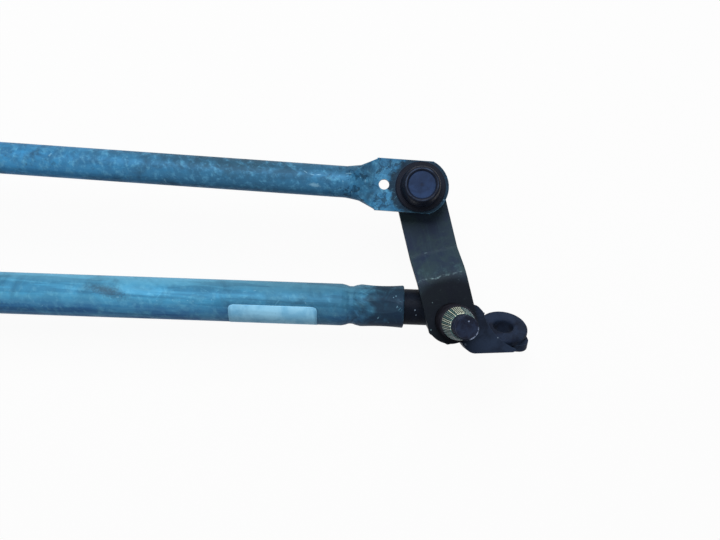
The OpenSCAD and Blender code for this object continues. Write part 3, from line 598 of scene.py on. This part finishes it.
# crank strip: dark oiled steel, black with grease at the hub, with a rubbed line on its bend
crankLook = {
    "slate": srgb(48, 64, 72), "navy": srgb(40, 51, 70), "grease": srgb(15, 18, 25),
    "bright": srgb(118, 144, 150), "teal": srgb(74, 106, 112), "metallic": 0.0, "specular": 0.05,
    "mottle": {"Patch": 85.0}, "scuffs": {"Density": 0.6, "Chips": 0.3},
    "grime": {"Reach": 0.006}, "edgeWear": {"Radius": 0.0007, "Break": 0.7},
    "brushing": {"span": (0.48, 0.80), "scale": 1.0, "detail": 3.0, "rough": 0.6},
    "brushingStretch": (35.0, 620.0, 1.0), "brushed": 0.12,
    "haloSpan": (16.8, 24.0), "greased": 0.9, "corners": 0.15,      # mm from the hub's axis
    "bend": 20.8, "bendSpan": (0.19, 0.608), "bendRubbed": 0.42,      # mm along the strip, mm from the line
    "wave": {"scale": 150.0, "detail": 3.0}, "waveBy": 2.2,      # mm
    "bendBreaks": {"span": (0.42, 0.66), "scale": 520.0, "detail": 4.0, "rough": 0.65},
    "smudge": {"span": (0.45, 0.72), "scale": 300.0, "detail": 6.0, "rough": 0.75},
    "smudgeFrom": (19.6, 20.8), "smudgeTo": (25.5, 26.7), "smudged": 0.40,      # mm along the strip
    "edges": 0.08, "scratches": 0.20, "specks": 0.4, "chipped": 0.6, "chipEdge": (0.6, 0.3),
    "chips": ((431.0, 330.0, 0.45, 0.45, 0), (425.5, 253.0, 0.9, 0.15, 15), (432.5, 302.5, 0.3, 0.3, 0)),
    "rough": {"Grease": -0.12}, "roughBase": 0.56, "metal": {"Bare": 0.6},
    "height": {"Bare": -0.4, "Grain": 0.5}, "bump": {"Strength": 0.4, "Distance": 0.00025},
}


def paintCrank(tree, look, masks, pivot):
    offset = vectorCalc(tree, "SUBTRACT", objectPoint(tree), pivot)
    along = vectorCalc(tree, "DOT_PRODUCT", offset, crankDirection, "Value")
    across = vectorCalc(tree, "DOT_PRODUCT", offset, crankAcross, "Value")
    strip = tree.nodes.new("ShaderNodeCombineXYZ")
    feed(tree, strip.inputs["X"], along)
    feed(tree, strip.inputs["Y"], across)
    point = strip.outputs["Vector"]
    color = mixColor(tree, masks["Cloud"], look["navy"], look["slate"])
    brushing = patches(tree, mapped(tree, point, look["brushingStretch"]), **look["brushing"])
    color = coat(tree, color, brushing, look["teal"], look["brushed"])
    # black grease towards the hub, and painted shade in the corners
    halo = fade(tree, flatDistance(tree, pivot), *metres(look["haloSpan"]))
    masks["Grease"] = strongest(tree, (halo, look["greased"]), (masks["Corner"], look["corners"]))
    color = coat(tree, color, masks["Grease"], look["grease"])
    # smudges beyond the bend
    begin = ramp(tree, along, *metres(look["smudgeFrom"]))
    smudge = times(tree, begin, fade(tree, along, *metres(look["smudgeTo"])))
    smudge = times(tree, smudge, patches(tree, point, **look["smudge"]))
    color = coat(tree, color, smudge, look["teal"], look["smudged"])
    # bare metal on the line of the bend and in the marks, and on the edges, where it is partly a painted
    # highlight
    place = linear(tree, waver(tree, point, **look["wave"]), look["waveBy"] * mm, along)
    line = lineAt(tree, place, look["bend"], look["bendSpan"])
    line = times(tree, line, patches(tree, point, **look["bendBreaks"]))
    chips = spots(tree, seenAt("right_crank", look["chips"]), *look["chipEdge"])
    masks["Bare"] = strongest(
        tree, (line, look["bendRubbed"]), (chips, look["chipped"]), (masks["Edge"], look["edges"]),
        (masks["Scratch"], look["scratches"]), (masks["Chip"], look["specks"]))
    return coat(tree, color, masks["Bare"], look["bright"])


# pivot shaft: dark greasy collar, teeth pale with wear and with a painted highlight on one side, dull thread
# with a painted highlight at its tip
shaftLook = {
    "common": {
        "metallic": 0.0, "bright": srgb(196, 206, 212), "corners": 0.5,
        "mottle": {"Patch": 220.0}, "edgeWear": {"Radius": 0.0004, "Break": 0.5},
        "rough": {"Grain": 0.25}, "roughBase": 0.30,
        "height": {"Grain": 1.0}, "bump": {"Strength": 0.25, "Distance": 0.0002},
    },
    "collar": {"base": srgb(45, 45, 53), "dark": srgb(29, 29, 36), "specular": 0.0, "edges": 0.05,
               "grime": {"Reach": 0.002}},
    "crest": {
        "base": srgb(246, 255, 232), "dark": srgb(92, 136, 134), "specular": 0.4, "edges": 0.10,
        "teeth": 54, "wornSpan": (0.25, 0.50),
        "dull": srgb(112, 144, 158), "brightTurn": 140.0, "brightSpan": (0.25, 0.75),      # degrees, cosines
    },
    "groove": {"base": srgb(42, 64, 68), "dark": srgb(18, 28, 30), "specular": 0.05, "edges": 0.0,
               "grime": {"Reach": 0.002}},
    "thread": {
        "base": srgb(33, 42, 62), "dark": srgb(22, 25, 38), "specular": 0.05, "edges": 0.06,
        "grime": {"Reach": 0.002},
        # painted highlight: a crescent on the tip's edge and a glint on the tip
        "rub": srgb(140, 154, 182), "rubRadius": (4.45, 4.55), "rubHeight": (10.3, 10.5),      # mm
        "rubTurn": -32.0, "rubSide": (0.72, 0.87),      # degrees, cosines
        "rubBreaks": {"span": (0.36, 0.60), "scale": 900.0, "detail": 3.0, "rough": 0.6},
        "glint": (0.7, 2.8, 11.0, 0.5, 0.4, 0), "glintEdge": (0.6, 0.2), "glinting": 0.7,
    },
}


def sideOf(tree, pivot, degrees):
    # cosine of the turn round the pivot, measured from a direction
    turn = math.radians(degrees)
    offset = vectorCalc(tree, "SUBTRACT", objectPoint(tree), pivot)
    outward = vectorCalc(tree, "NORMALIZE", vectorCalc(tree, "MULTIPLY", offset, inPlan))
    return vectorCalc(tree, "DOT_PRODUCT", outward, Vector((math.cos(turn), math.sin(turn), 0)), "Value")


def toothWearAndGlint(tree, look, pivot):
    # a value for each tooth, the same from its foot to its top, for its wear and its painted glint
    place = parts(tree, vectorCalc(tree, "SUBTRACT", objectPoint(tree), pivot))
    turn = calc(tree, "ARCTAN2", place["Y"], place["X"])
    pick = tree.nodes.new("ShaderNodeTexWhiteNoise")
    pick.noise_dimensions = "1D"
    tree.links.new(calc(tree, "FLOOR", times(tree, turn, look["teeth"] / math.tau)), pick.inputs["W"])
    return ramp(tree, pick.outputs["Value"], *look["wornSpan"])


def paintShaft(tree, look, masks):
    color = mixColor(tree, masks["Cloud"], look["dark"], look["base"])
    # painted shade: darker in the corners
    color = coat(tree, color, masks["Corner"], look["dark"], look["corners"])
    return coat(tree, color, masks["Edge"], look["bright"], look["edges"])


def paintCrest(tree, look, masks, pivot):
    # painted highlight: only one side of the teeth is bright, and there each tooth has its own amount of
    # wear and painted glint
    wornAndGlinting = mixColor(tree, toothWearAndGlint(tree, look, pivot), look["dark"], look["base"])
    dull = mixColor(tree, masks["Cloud"], look["dark"], look["dull"])
    bright = ramp(tree, sideOf(tree, pivot, look["brightTurn"]), *look["brightSpan"])
    return coat(tree, mixColor(tree, bright, dull, wornAndGlinting), masks["Edge"], look["bright"], look["edges"])


def paintThread(tree, look, masks, pivot):
    # painted highlight: a bright crescent on one side of the tip's edge, and a painted glint
    edge = ramp(tree, flatDistance(tree, pivot), *metres(look["rubRadius"]))
    tip = ramp(tree, parts(tree, objectPoint(tree))["Z"], *metres(look["rubHeight"]))
    side = ramp(tree, sideOf(tree, pivot, look["rubTurn"]), *look["rubSide"])
    broken = patches(tree, objectPoint(tree), **look["rubBreaks"])
    crescent = times(tree, times(tree, edge, tip), times(tree, side, broken))
    x, y, *rest = look["glint"]
    glint = spots(tree, ((x + pivot.x / mm, y, *rest),), *look["glintEdge"])
    rub = largest(tree, crescent, times(tree, glint, look["glinting"]))
    return coat(tree, paintShaft(tree, look, masks), rub, look["rub"])


# moulded plastic of the ball sockets: darker outside the dish and in a dot at its middle, with a painted
# highlight on a line round the dish; mm from the ball's axis
socketLook = {
    "plastic": srgb(40, 60, 95), "shade": srgb(31, 46, 74), "grease": srgb(20, 22, 30),
    "scuff": srgb(84, 102, 132), "metallic": 0.0, "specular": 0.06,
    "mottle": {"Patch": 150.0}, "scuffs": {"Density": 0.4},
    "grime": {"Reach": 0.003}, "edgeWear": {"Radius": 0.0006, "Break": 0.4},
    "footSpan": (5.7, 6.6), "footGrease": 0.92, "dotSpan": (0.2, 1.3), "dotGrease": 0.5, "corners": 0.25,
    "rim": 7.2, "rimSpan": (0.125, 0.5), "rimRubbed": 0.40,
    "rimBreaks": {"span": (0.36, 0.66), "scale": 160.0, "detail": 3.0},
    "edges": 0.22, "scratches": 0.30,
    "rough": {"Grain": 0.2}, "roughBase": 0.32,
    "height": {"Grain": 1.0}, "bump": {"Strength": 0.25, "Distance": 0.0002},
}


def paintSocket(tree, look, masks, node):
    radius = flatDistance(tree, centerOf(node))
    color = mixColor(tree, masks["Cloud"], look["shade"], look["plastic"])
    foot = ramp(tree, radius, *metres(look["footSpan"]))
    dot = fade(tree, radius, *metres(look["dotSpan"]))
    # darker outside the dish and in a dot at its middle, and painted shade in the corners, in the grease
    # colour
    grease = strongest(
        tree, (foot, look["footGrease"]), (masks["Corner"], look["corners"]), (dot, look["dotGrease"]))
    color = coat(tree, color, grease, look["grease"])
    line = lineAt(tree, radius, look["rim"], look["rimSpan"])
    line = times(tree, line, patches(tree, objectPoint(tree), **look["rimBreaks"]))
    # painted highlight on the line round the dish, with worn edges and scratches
    rub = strongest(
        tree, (line, look["rimRubbed"]), (masks["Edge"], look["edges"]),
        (masks["Scratch"], look["scratches"]))
    return coat(tree, color, rub, look["scuff"])


# steel of studs, washers, rings and rivets, rubber of grommets and seals, bronze of the bushes
plainLook = {
    "plainSteel": {
        "light": srgb(150, 162, 170), "dark": srgb(84, 96, 108), "rust": srgb(92, 66, 48),
        "metallic": 0.8, "specular": 0.5, "mottle": {"Patch": 160.0},
        "grime": {"Reach": 0.003, "Patches": 0.4}, "edgeWear": {"Radius": 0.0005, "Break": 0.4},
        "coats": (("Corner", "rust", 0.6), ("Patch", "rust", 0.6), ("Edge", "light", 0.5)),
        "rough": {"Grain": 0.3}, "roughBase": 0.26,
        "height": {"Grain": 1.0}, "bump": {"Strength": 0.2, "Distance": 0.0002},
    },
    "blackRubber": {
        "light": srgb(33, 44, 64), "dark": srgb(20, 27, 42), "dust": srgb(54, 66, 84),
        "metallic": 0.0, "specular": 0.05, "mottle": {"Patch": 110.0},
        "grime": {"Patches": 0.35}, "edgeWear": {"Radius": 0.0008, "Break": 0.5},
        "coats": (("Patch", "dust", 0.5), ("Edge", "dust", 0.25)),
        "rough": {"Grain": 0.2}, "roughBase": 0.45,
        "height": {"Grain": 1.0}, "bump": {"Strength": 0.3, "Distance": 0.0003},
    },
    "oiledBronze": {
        "light": srgb(168, 128, 80), "dark": srgb(108, 76, 44), "oil": srgb(50, 38, 28),
        "metallic": 0.9, "specular": 0.5, "mottle": {"Patch": 240.0}, "grime": {"Patches": 0.5},
        "coats": (("Patch", "oil", 0.8),),
        "rough": {"Grain": 0.3}, "roughBase": 0.3,
        "height": {"Grain": 1.0}, "bump": {"Strength": 0.3, "Distance": 0.0002},
    },
}


def paintPlain(tree, look, masks):
    color = mixColor(tree, masks["Cloud"], look["dark"], look["light"])
    for mask, over, amount in look["coats"]:
        color = coat(tree, color, masks[mask], look[over], amount)
    return color


def makeZinc(kind, *ends):
    return makeFinish("zinc" + kind.capitalize(), {**zincLook["common"], **zincLook[kind]}, paintZinc, *ends)


shaftSteels = ("collar", "crest", "groove", "thread")


def makeShaftSteels(side, pivot):
    # in the order of the names above
    paints = {"crest": (paintCrest, pivot), "thread": (paintThread, pivot)}
    steels = []
    for name in shaftSteels:
        look = {**shaftLook["common"], **shaftLook[name]}
        steels.append(makeFinish(side + name.capitalize() + "Steel", look, *paints.get(name, (paintShaft,))))
    return steels


zincTube = makeZinc("tube", tubeEnds, seenAt("main_tube", tubeEndLook["rubs"]))
zincRod = makeZinc("rod", rodEnds, seenAt("tandem_rod", rodEndLook["rubs"]))
zincSheet = makeZinc("sheet")
blackCasting = makeFinish("blackCasting", castingLook, paintCasting)
rightCrankSteel = makeFinish("rightCrankSteel", crankLook, paintCrank, rightPivot)
leftCrankSteel = makeFinish("leftCrankSteel", crankLook, paintCrank, leftPivot)
socketPlastic = {
    name: makeFinish("plastic_" + name, socketLook, paintSocket, name) for name in rodEndLook["sockets"]}
plain = {name: makeFinish(name, look, paintPlain) for name, look in plainLook.items()}
rightShaftSteels = makeShaftSteels("right", rightPivot)
leftShaftSteels = makeShaftSteels("left", leftPivot)
print("materials ready")

# which finish each solid gets, by the first word that its name holds
finishes = {
    "main_tube": zincTube, "rod": zincRod, "motor_plate": zincSheet,
    "strap_rivets": plain["plainSteel"], "strap": zincSheet,
    "housing": blackCasting, "right_crank": rightCrankSteel, "crank": leftCrankSteel,
    "grommet": plain["blackRubber"], "seal": plain["blackRubber"], "bush": plain["oiledBronze"],
    "shaft": rightShaftSteels[0], **socketPlastic,
}
for name, piece in nodes.items():
    piece.data.materials.clear()
    fitting = [material for word, material in finishes.items() if word in name]
    piece.data.materials.append(fitting[0] if fitting else plain["plainSteel"])
print("finishes on the solids")

# broken edges on the solids that show most
edgeBreaks = {
    "weld": 0.01, "segments": 3, "angle": 32.0,      # mm, count, degrees
    "widths": {      # mm
        "right_pivot_housing": 0.7, "left_pivot_housing": 0.7,
        "right_crank": 0.35, "left_crank": 0.35, "motor_crank": 0.35, "motor_plate": 0.3,
        "tandem_rod": 0.25, "drive_rod": 0.25, "right_tube_strap": 0.25, "left_tube_strap": 0.25,
        "tandem_right_socket": 0.25, "tandem_left_socket": 0.25,
        "drive_left_socket": 0.25, "drive_motor_socket": 0.25,
    },
}
for name, width in edgeBreaks["widths"].items():
    weld = nodes[name].modifiers.new("weld", "WELD")
    weld.merge_threshold = edgeBreaks["weld"] * mm
    bevel = nodes[name].modifiers.new("brokenEdges", "BEVEL")
    bevel.width = width * mm
    bevel.segments = edgeBreaks["segments"]
    bevel.limit_method = "ANGLE"
    bevel.angle_limit = math.radians(edgeBreaks["angle"])
    bevel.use_clamp_overlap = True
    shade = nodes[name].modifiers.new("evenShade", "WEIGHTED_NORMAL")
    shade.keep_sharp = False
print("edges broken")


# pieces made here
def newPiece(name, mesh, materials, body):
    mesh.normal_update()
    data = bpy.data.meshes.new(name)
    mesh.to_mesh(data)
    mesh.free()
    piece = bpy.data.objects.new(name, data)
    scene.collection.objects.link(piece)
    for material in materials:
        data.materials.append(material)
    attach(piece, body)
    return piece


def stitchRings(mesh, rings, paint, smooth=True):
    # rings of equal length, listed upwards, each anticlockwise seen from +Z
    # paint gives a face's material by row and place
    rows = [[mesh.verts.new(point) for point in ring] for ring in rings]
    count = len(rows[0])
    for row, (lower, upper) in enumerate(zip(rows, rows[1:])):
        for i in range(count):
            j = (i + 1) % count
            face = mesh.faces.new((lower[i], lower[j], upper[j], upper[i]))
            face.material_index = paint(row, i)
            face.smooth = smooth
    for row, order in ((0, -1), (-1, 1)):
        mesh.faces.new(rows[row][::order]).material_index = paint(row, 0)


def ringPoint(center, radius, turn, z):
    return center + Vector((radius * math.cos(turn), radius * math.sin(turn), z)) * mm


def ringOf(center, radius, z, count):
    return [ringPoint(center, radius, math.tau * i / count, z) for i in range(count)]


# pivot shaft: turned body, knurled cone, cut thread; heights in mm from the foot of the thread
shaftShape = {
    "bodyProfile": (      # radius, height over the cone's foot
        (5.7, -70.9), (6.5, -70.1), (6.5, -69.3), (5.9, -69.25), (5.9, -68.2), (6.5, -68.15),
        (6.5, -30.1), (7.0, -30.0), (7.0, -25.02), (7.8, -24.95), (8.0, -24.75),
        (8.0, -0.55), (7.9, -0.35), (7.65, -0.1), (7.3, 0.0),
    ),
    "bodySides": 96,
    "coneFoot": 7.3, "coneTop": 5.65, "coneSunk": 0.2, "coneRows": 10, "toothDepth": 0.45,
    "tooth": ((0.0, 0.0), (0.34, 0.0), (0.50, 1.0), (0.84, 1.0)),      # share of the pitch, height
    "crestPoint": 2,      # where the crest begins, counted from 0
    "toothRunout": ((-0.25, 0.75), (0.0, 0.0)),      # height, lift
    "threadCrest": 5.0, "threadRoot": 4.3, "threadPitch": 1.25, "threadFrom": -0.1, "threadTo": 11.0,
    "threadSides": 64, "rowsPerPitch": 12,
    "ridgeHalf": 0.44, "ridgeRise": 1.25,      # share of the pitch; more than 1 leaves a flat crest
    "runoutFrom": 0.3, "runoutLength": 1.4,
    "tipChamfer": 0.35, "tipDish": ((4.2, 0.0), (2.0, 0.06), (0.3, 0.10)),      # radius, depth
}
coneBottom = -layout["coneHeight"] - shaftShape["coneSunk"]


def knurlRing(center, z, lift):
    # one ring of tooth roots and crests; lift 0 is the root circle and 1 full teeth
    shape, teeth = shaftShape, shaftLook["crest"]["teeth"]
    crest = shape["coneFoot"] + (shape["coneTop"] - shape["coneFoot"]) * (z - coneBottom) / -coneBottom
    points = []
    for i in range(teeth):
        for share, height in shape["tooth"]:
            radius = crest - shape["toothDepth"] * (1.0 - height * lift)
            points.append(ringPoint(center, radius, math.tau * (i + share) / teeth, z))
    return points


def threadRadius(z, turn):
    # sharp-flanked helix that runs out at the foot and is cut by the chamfer at the tip
    shape = shaftShape
    place = (z / shape["threadPitch"] - turn / math.tau) % 1.0
    ridge = min(max(0.0, 1.0 - abs(place - 0.5) / shape["ridgeHalf"]) * shape["ridgeRise"], 1.0)
    runout = min(max((z - shape["runoutFrom"]) / shape["runoutLength"], 0.0), 1.0)
    radius = shape["threadCrest"] - (shape["threadCrest"] - shape["threadRoot"]) * (1 - ridge) * runout
    return min(radius, shape["threadCrest"] - shape["tipChamfer"] + (shape["threadTo"] - z))


def threadRing(center, z):
    turns = [math.tau * i / shaftShape["threadSides"] for i in range(shaftShape["threadSides"])]
    return [ringPoint(center, threadRadius(z, turn), turn, z) for turn in turns]


def makeShaft(name, node, body, center, steels):
    shape = shaftShape
    slots = {steel: i for i, steel in enumerate(shaftSteels)}
    mesh = bmesh.new()
    sides = shape["bodySides"]
    rings = [ringOf(center, radius, z - layout["coneHeight"], sides) for radius, z in shape["bodyProfile"]]
    stitchRings(mesh, rings, lambda row, i: slots["collar"])
    coneRows = shape["coneRows"]
    rings = [knurlRing(center, coneBottom * (1 - row / coneRows), 1.0) for row in range(coneRows)]
    rings += [knurlRing(center, z, lift) for z, lift in shape["toothRunout"]]

    def toothSteel(row, i):
        onCrest = i % len(shape["tooth"]) == shape["crestPoint"]
        return slots["crest" if onCrest or row == coneRows else "groove"]

    stitchRings(mesh, rings, toothSteel, smooth=False)
    length = shape["threadTo"] - shape["threadFrom"]
    rows = int(length * shape["rowsPerPitch"] / shape["threadPitch"])
    rings = [threadRing(center, shape["threadFrom"] + length * row / rows) for row in range(rows + 1)]
    sides = shape["threadSides"]
    rings += [ringOf(center, radius, shape["threadTo"] - drop, sides) for radius, drop in shape["tipDish"]]
    stitchRings(mesh, rings, lambda row, i: slots["thread"], smooth=False)
    piece = newPiece(name, mesh, steels, body)
    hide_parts(node)


makeShaft("right_shaft_turned", "right_shaft", "right_pivot", rightPivot, rightShaftSteels)
makeShaft("left_shaft_turned", "left_shaft", "left_pivot", leftPivot, leftShaftSteels)
print("shafts turned")

# blank label round the tube
labelShape = {
    "from": -104.5, "to": -62.8,      # mm along the tube from the right pivot
    "top": 7.0, "bottom": 138.0,      # degrees round the tube from +Z towards -Y
    "corner": 2.2, "lift": 0.03, "thick": 0.12, "rows": 40, "columns": 24,
}
labelLook = {
    "light": srgb(152, 212, 244), "dark": srgb(124, 190, 228), "dirt": srgb(84, 146, 188),
    "metallic": 0.0, "specular": 0.1,
    "mottle": {"Patch": 120.0}, "scuffs": {"Density": 0.9},
    "grime": {"Patches": 0.5}, "edgeWear": {"Radius": 0.0006, "Break": 0.8},
    "coats": (("Patch", "dirt", 0.8), ("Scratch", "dirt", 0.6), ("Edge", "dirt", 0.25)),
    "rough": {"Grain": 0.2}, "roughBase": 0.40,
    "height": {"Streak": 0.8, "Grain": 0.2}, "bump": {"Strength": 0.25, "Distance": 0.0003},
}


def tubePoint(along, degrees, radius):
    # a point on the tube: mm along it from the right pivot, turn from +Z towards -Y, mm from its axis
    turn = math.radians(degrees)
    across = -radius * math.sin(turn)
    return Vector((along * math.cos(tubeSlant) - across * math.sin(tubeSlant),
                   layout["tubeOffset"] + along * math.sin(tubeSlant) + across * math.cos(tubeSlant),
                   layout["tubeZ"] + radius * math.cos(turn))) * mm


def makeLabel():
    shape = labelShape
    mesh = bmesh.new()
    arc = math.radians(1) * layout["tubeRadius"]      # mm per degree round the tube
    height = (shape["bottom"] - shape["top"]) * arc
    lastRow, lastColumn = shape["rows"], shape["columns"]
    sheets = []
    for lift in (shape["lift"], shape["lift"] + shape["thick"]):
        radius = layout["tubeRadius"] + lift
        grid = []
        for row in range(lastRow + 1):
            down = height * row / lastRow
            gap = shape["corner"] - min(down, height - down, shape["corner"])
            inset = shape["corner"] - math.sqrt(max(shape["corner"] ** 2 - gap ** 2, 0.0))
            left, right = shape["from"] + inset, shape["to"] - inset
            places = [left + (right - left) * column / lastColumn for column in range(lastColumn + 1)]
            turn = shape["top"] + down / arc
            grid.append([mesh.verts.new(tubePoint(place, turn, radius)) for place in places])
        sheets.append(grid)
    inner, outer = sheets
    for row in range(lastRow):
        for column in range(lastColumn):
            for grid, order in ((outer, 1), (inner, -1)):
                upper, lower = grid[row], grid[row + 1]
                corners = [upper[column], lower[column], lower[column + 1], upper[column + 1]]
                mesh.faces.new(corners[::order]).smooth = True
    rim = [(0, c) for c in range(lastColumn)] + [(r, lastColumn) for r in range(lastRow)]
    rim += [(lastRow, c) for c in range(lastColumn, 0, -1)] + [(r, 0) for r in range(lastRow, 0, -1)]
    for (r0, c0), (r1, c1) in zip(rim, rim[1:] + rim[:1]):
        mesh.faces.new((outer[r0][c0], outer[r1][c1], inner[r1][c1], inner[r0][c0]))
    bmesh.ops.recalc_face_normals(mesh, faces=mesh.faces)
    paper = makeFinish("labelPaper", labelLook, paintPlain)
    newPiece("blank_label", mesh, (paper,), "frame")


makeLabel()
print("label on the tube")

# floor, light and camera; metres
stageLook = {
    "floorSize": 6.0, "floorMiddle": -0.25, "floorDrop": 0.0005,
    "floor": (0.6, 0.6, 0.6, 1.0), "floorRough": 0.9, "metallic": 0.0, "specular": 0.0,
    "white": 0.95, "whiteSpan": (0.5, 1.6),      # share of plain white near the object, all white far out
    "sky": (1.0, 1.0, 1.0, 1.0), "worldLight": 0.22,
}


def seenDirectly(tree):
    # 1 for what the camera sees, by itself, in a gloss or through glass
    path = tree.nodes.new("ShaderNodeLightPath").outputs
    return largest(tree, path["Is Camera Ray"], path["Is Glossy Ray"], path["Is Transmission Ray"])


def makeFloor():
    look = stageLook
    half = look["floorSize"] / 2
    level = cadBox[0][2] - look["floorDrop"]
    mesh = bmesh.new()
    corners = ((-1, -1), (1, -1), (1, 1), (-1, 1))
    mesh.faces.new([mesh.verts.new((look["floorMiddle"] + x * half, y * half, level)) for x, y in corners])
    data = bpy.data.meshes.new("floor")
    mesh.to_mesh(data)
    mesh.free()
    floor = bpy.data.objects.new("floor", data)
    scene.collection.objects.link(floor)
    material, tree, shader = newMaterial("floorPaint", look)
    shader.inputs["Base Color"].default_value = look["floor"]
    shader.inputs["Roughness"].default_value = look["floorRough"]
    glow = tree.nodes.new("ShaderNodeEmission")
    blend = tree.nodes.new("ShaderNodeMixShader")
    # shadow near the object, plain white further out
    away = ramp(tree, flatDistance(tree, Vector((look["floorMiddle"], 0, 0))), *look["whiteSpan"])
    white = linear(tree, away, 1.0 - look["white"], look["white"])
    tree.links.new(times(tree, seenDirectly(tree), white), blend.inputs[0])
    tree.links.new(shader.outputs[0], blend.inputs[1])
    tree.links.new(glow.outputs[0], blend.inputs[2])
    tree.links.new(blend.outputs[0], tree.nodes["Material Output"].inputs["Surface"])
    data.materials.append(material)


def makeWorld():
    world = bpy.data.worlds.new("studio")
    scene.world = world
    world.use_nodes = True
    tree = world.node_tree
    background = tree.nodes["Background"]
    background.inputs["Color"].default_value = stageLook["sky"]
    light = stageLook["worldLight"]
    tree.links.new(linear(tree, seenDirectly(tree), 1.0 - light, light), background.inputs["Strength"])


makeFloor()
makeWorld()

lampLook = {
    "key": {"place": (-0.15, 0.54, 0.83), "aim": (-0.1, 0.0, -0.05), "size": 0.55, "watts": 11.0},
    "fill": {"place": (-0.75, -0.5, 0.7), "aim": (-0.15, 0.0, -0.05), "size": 0.9, "watts": 0.35},
}
for name, lamp in lampLook.items():
    data = bpy.data.lights.new(name, "AREA")
    data.size = lamp["size"]
    data.energy = lamp["watts"]
    lampObject = bpy.data.objects.new(name, data)
    scene.collection.objects.link(lampObject)
    lampObject.location = lamp["place"]
    ray = Vector(lamp["aim"]) - Vector(lamp["place"])
    lampObject.rotation_euler = ray.to_track_quat("-Z", "Y").to_euler()

cameraData = bpy.data.cameras.new("photoCamera")
cameraData.sensor_width = cameraLook["sensor"]
cameraData.lens = cameraLook["lens"]
cameraData.clip_start = cameraLook["clipStart"]
camera = bpy.data.objects.new("photoCamera", cameraData)
scene.collection.objects.link(camera)
camera.location = cameraLook["place"]
camera.rotation_euler = (0, 0, math.radians(cameraLook["turn"]))
scene.camera = camera
scene.view_settings.view_transform = "Standard"
print("stage ready")
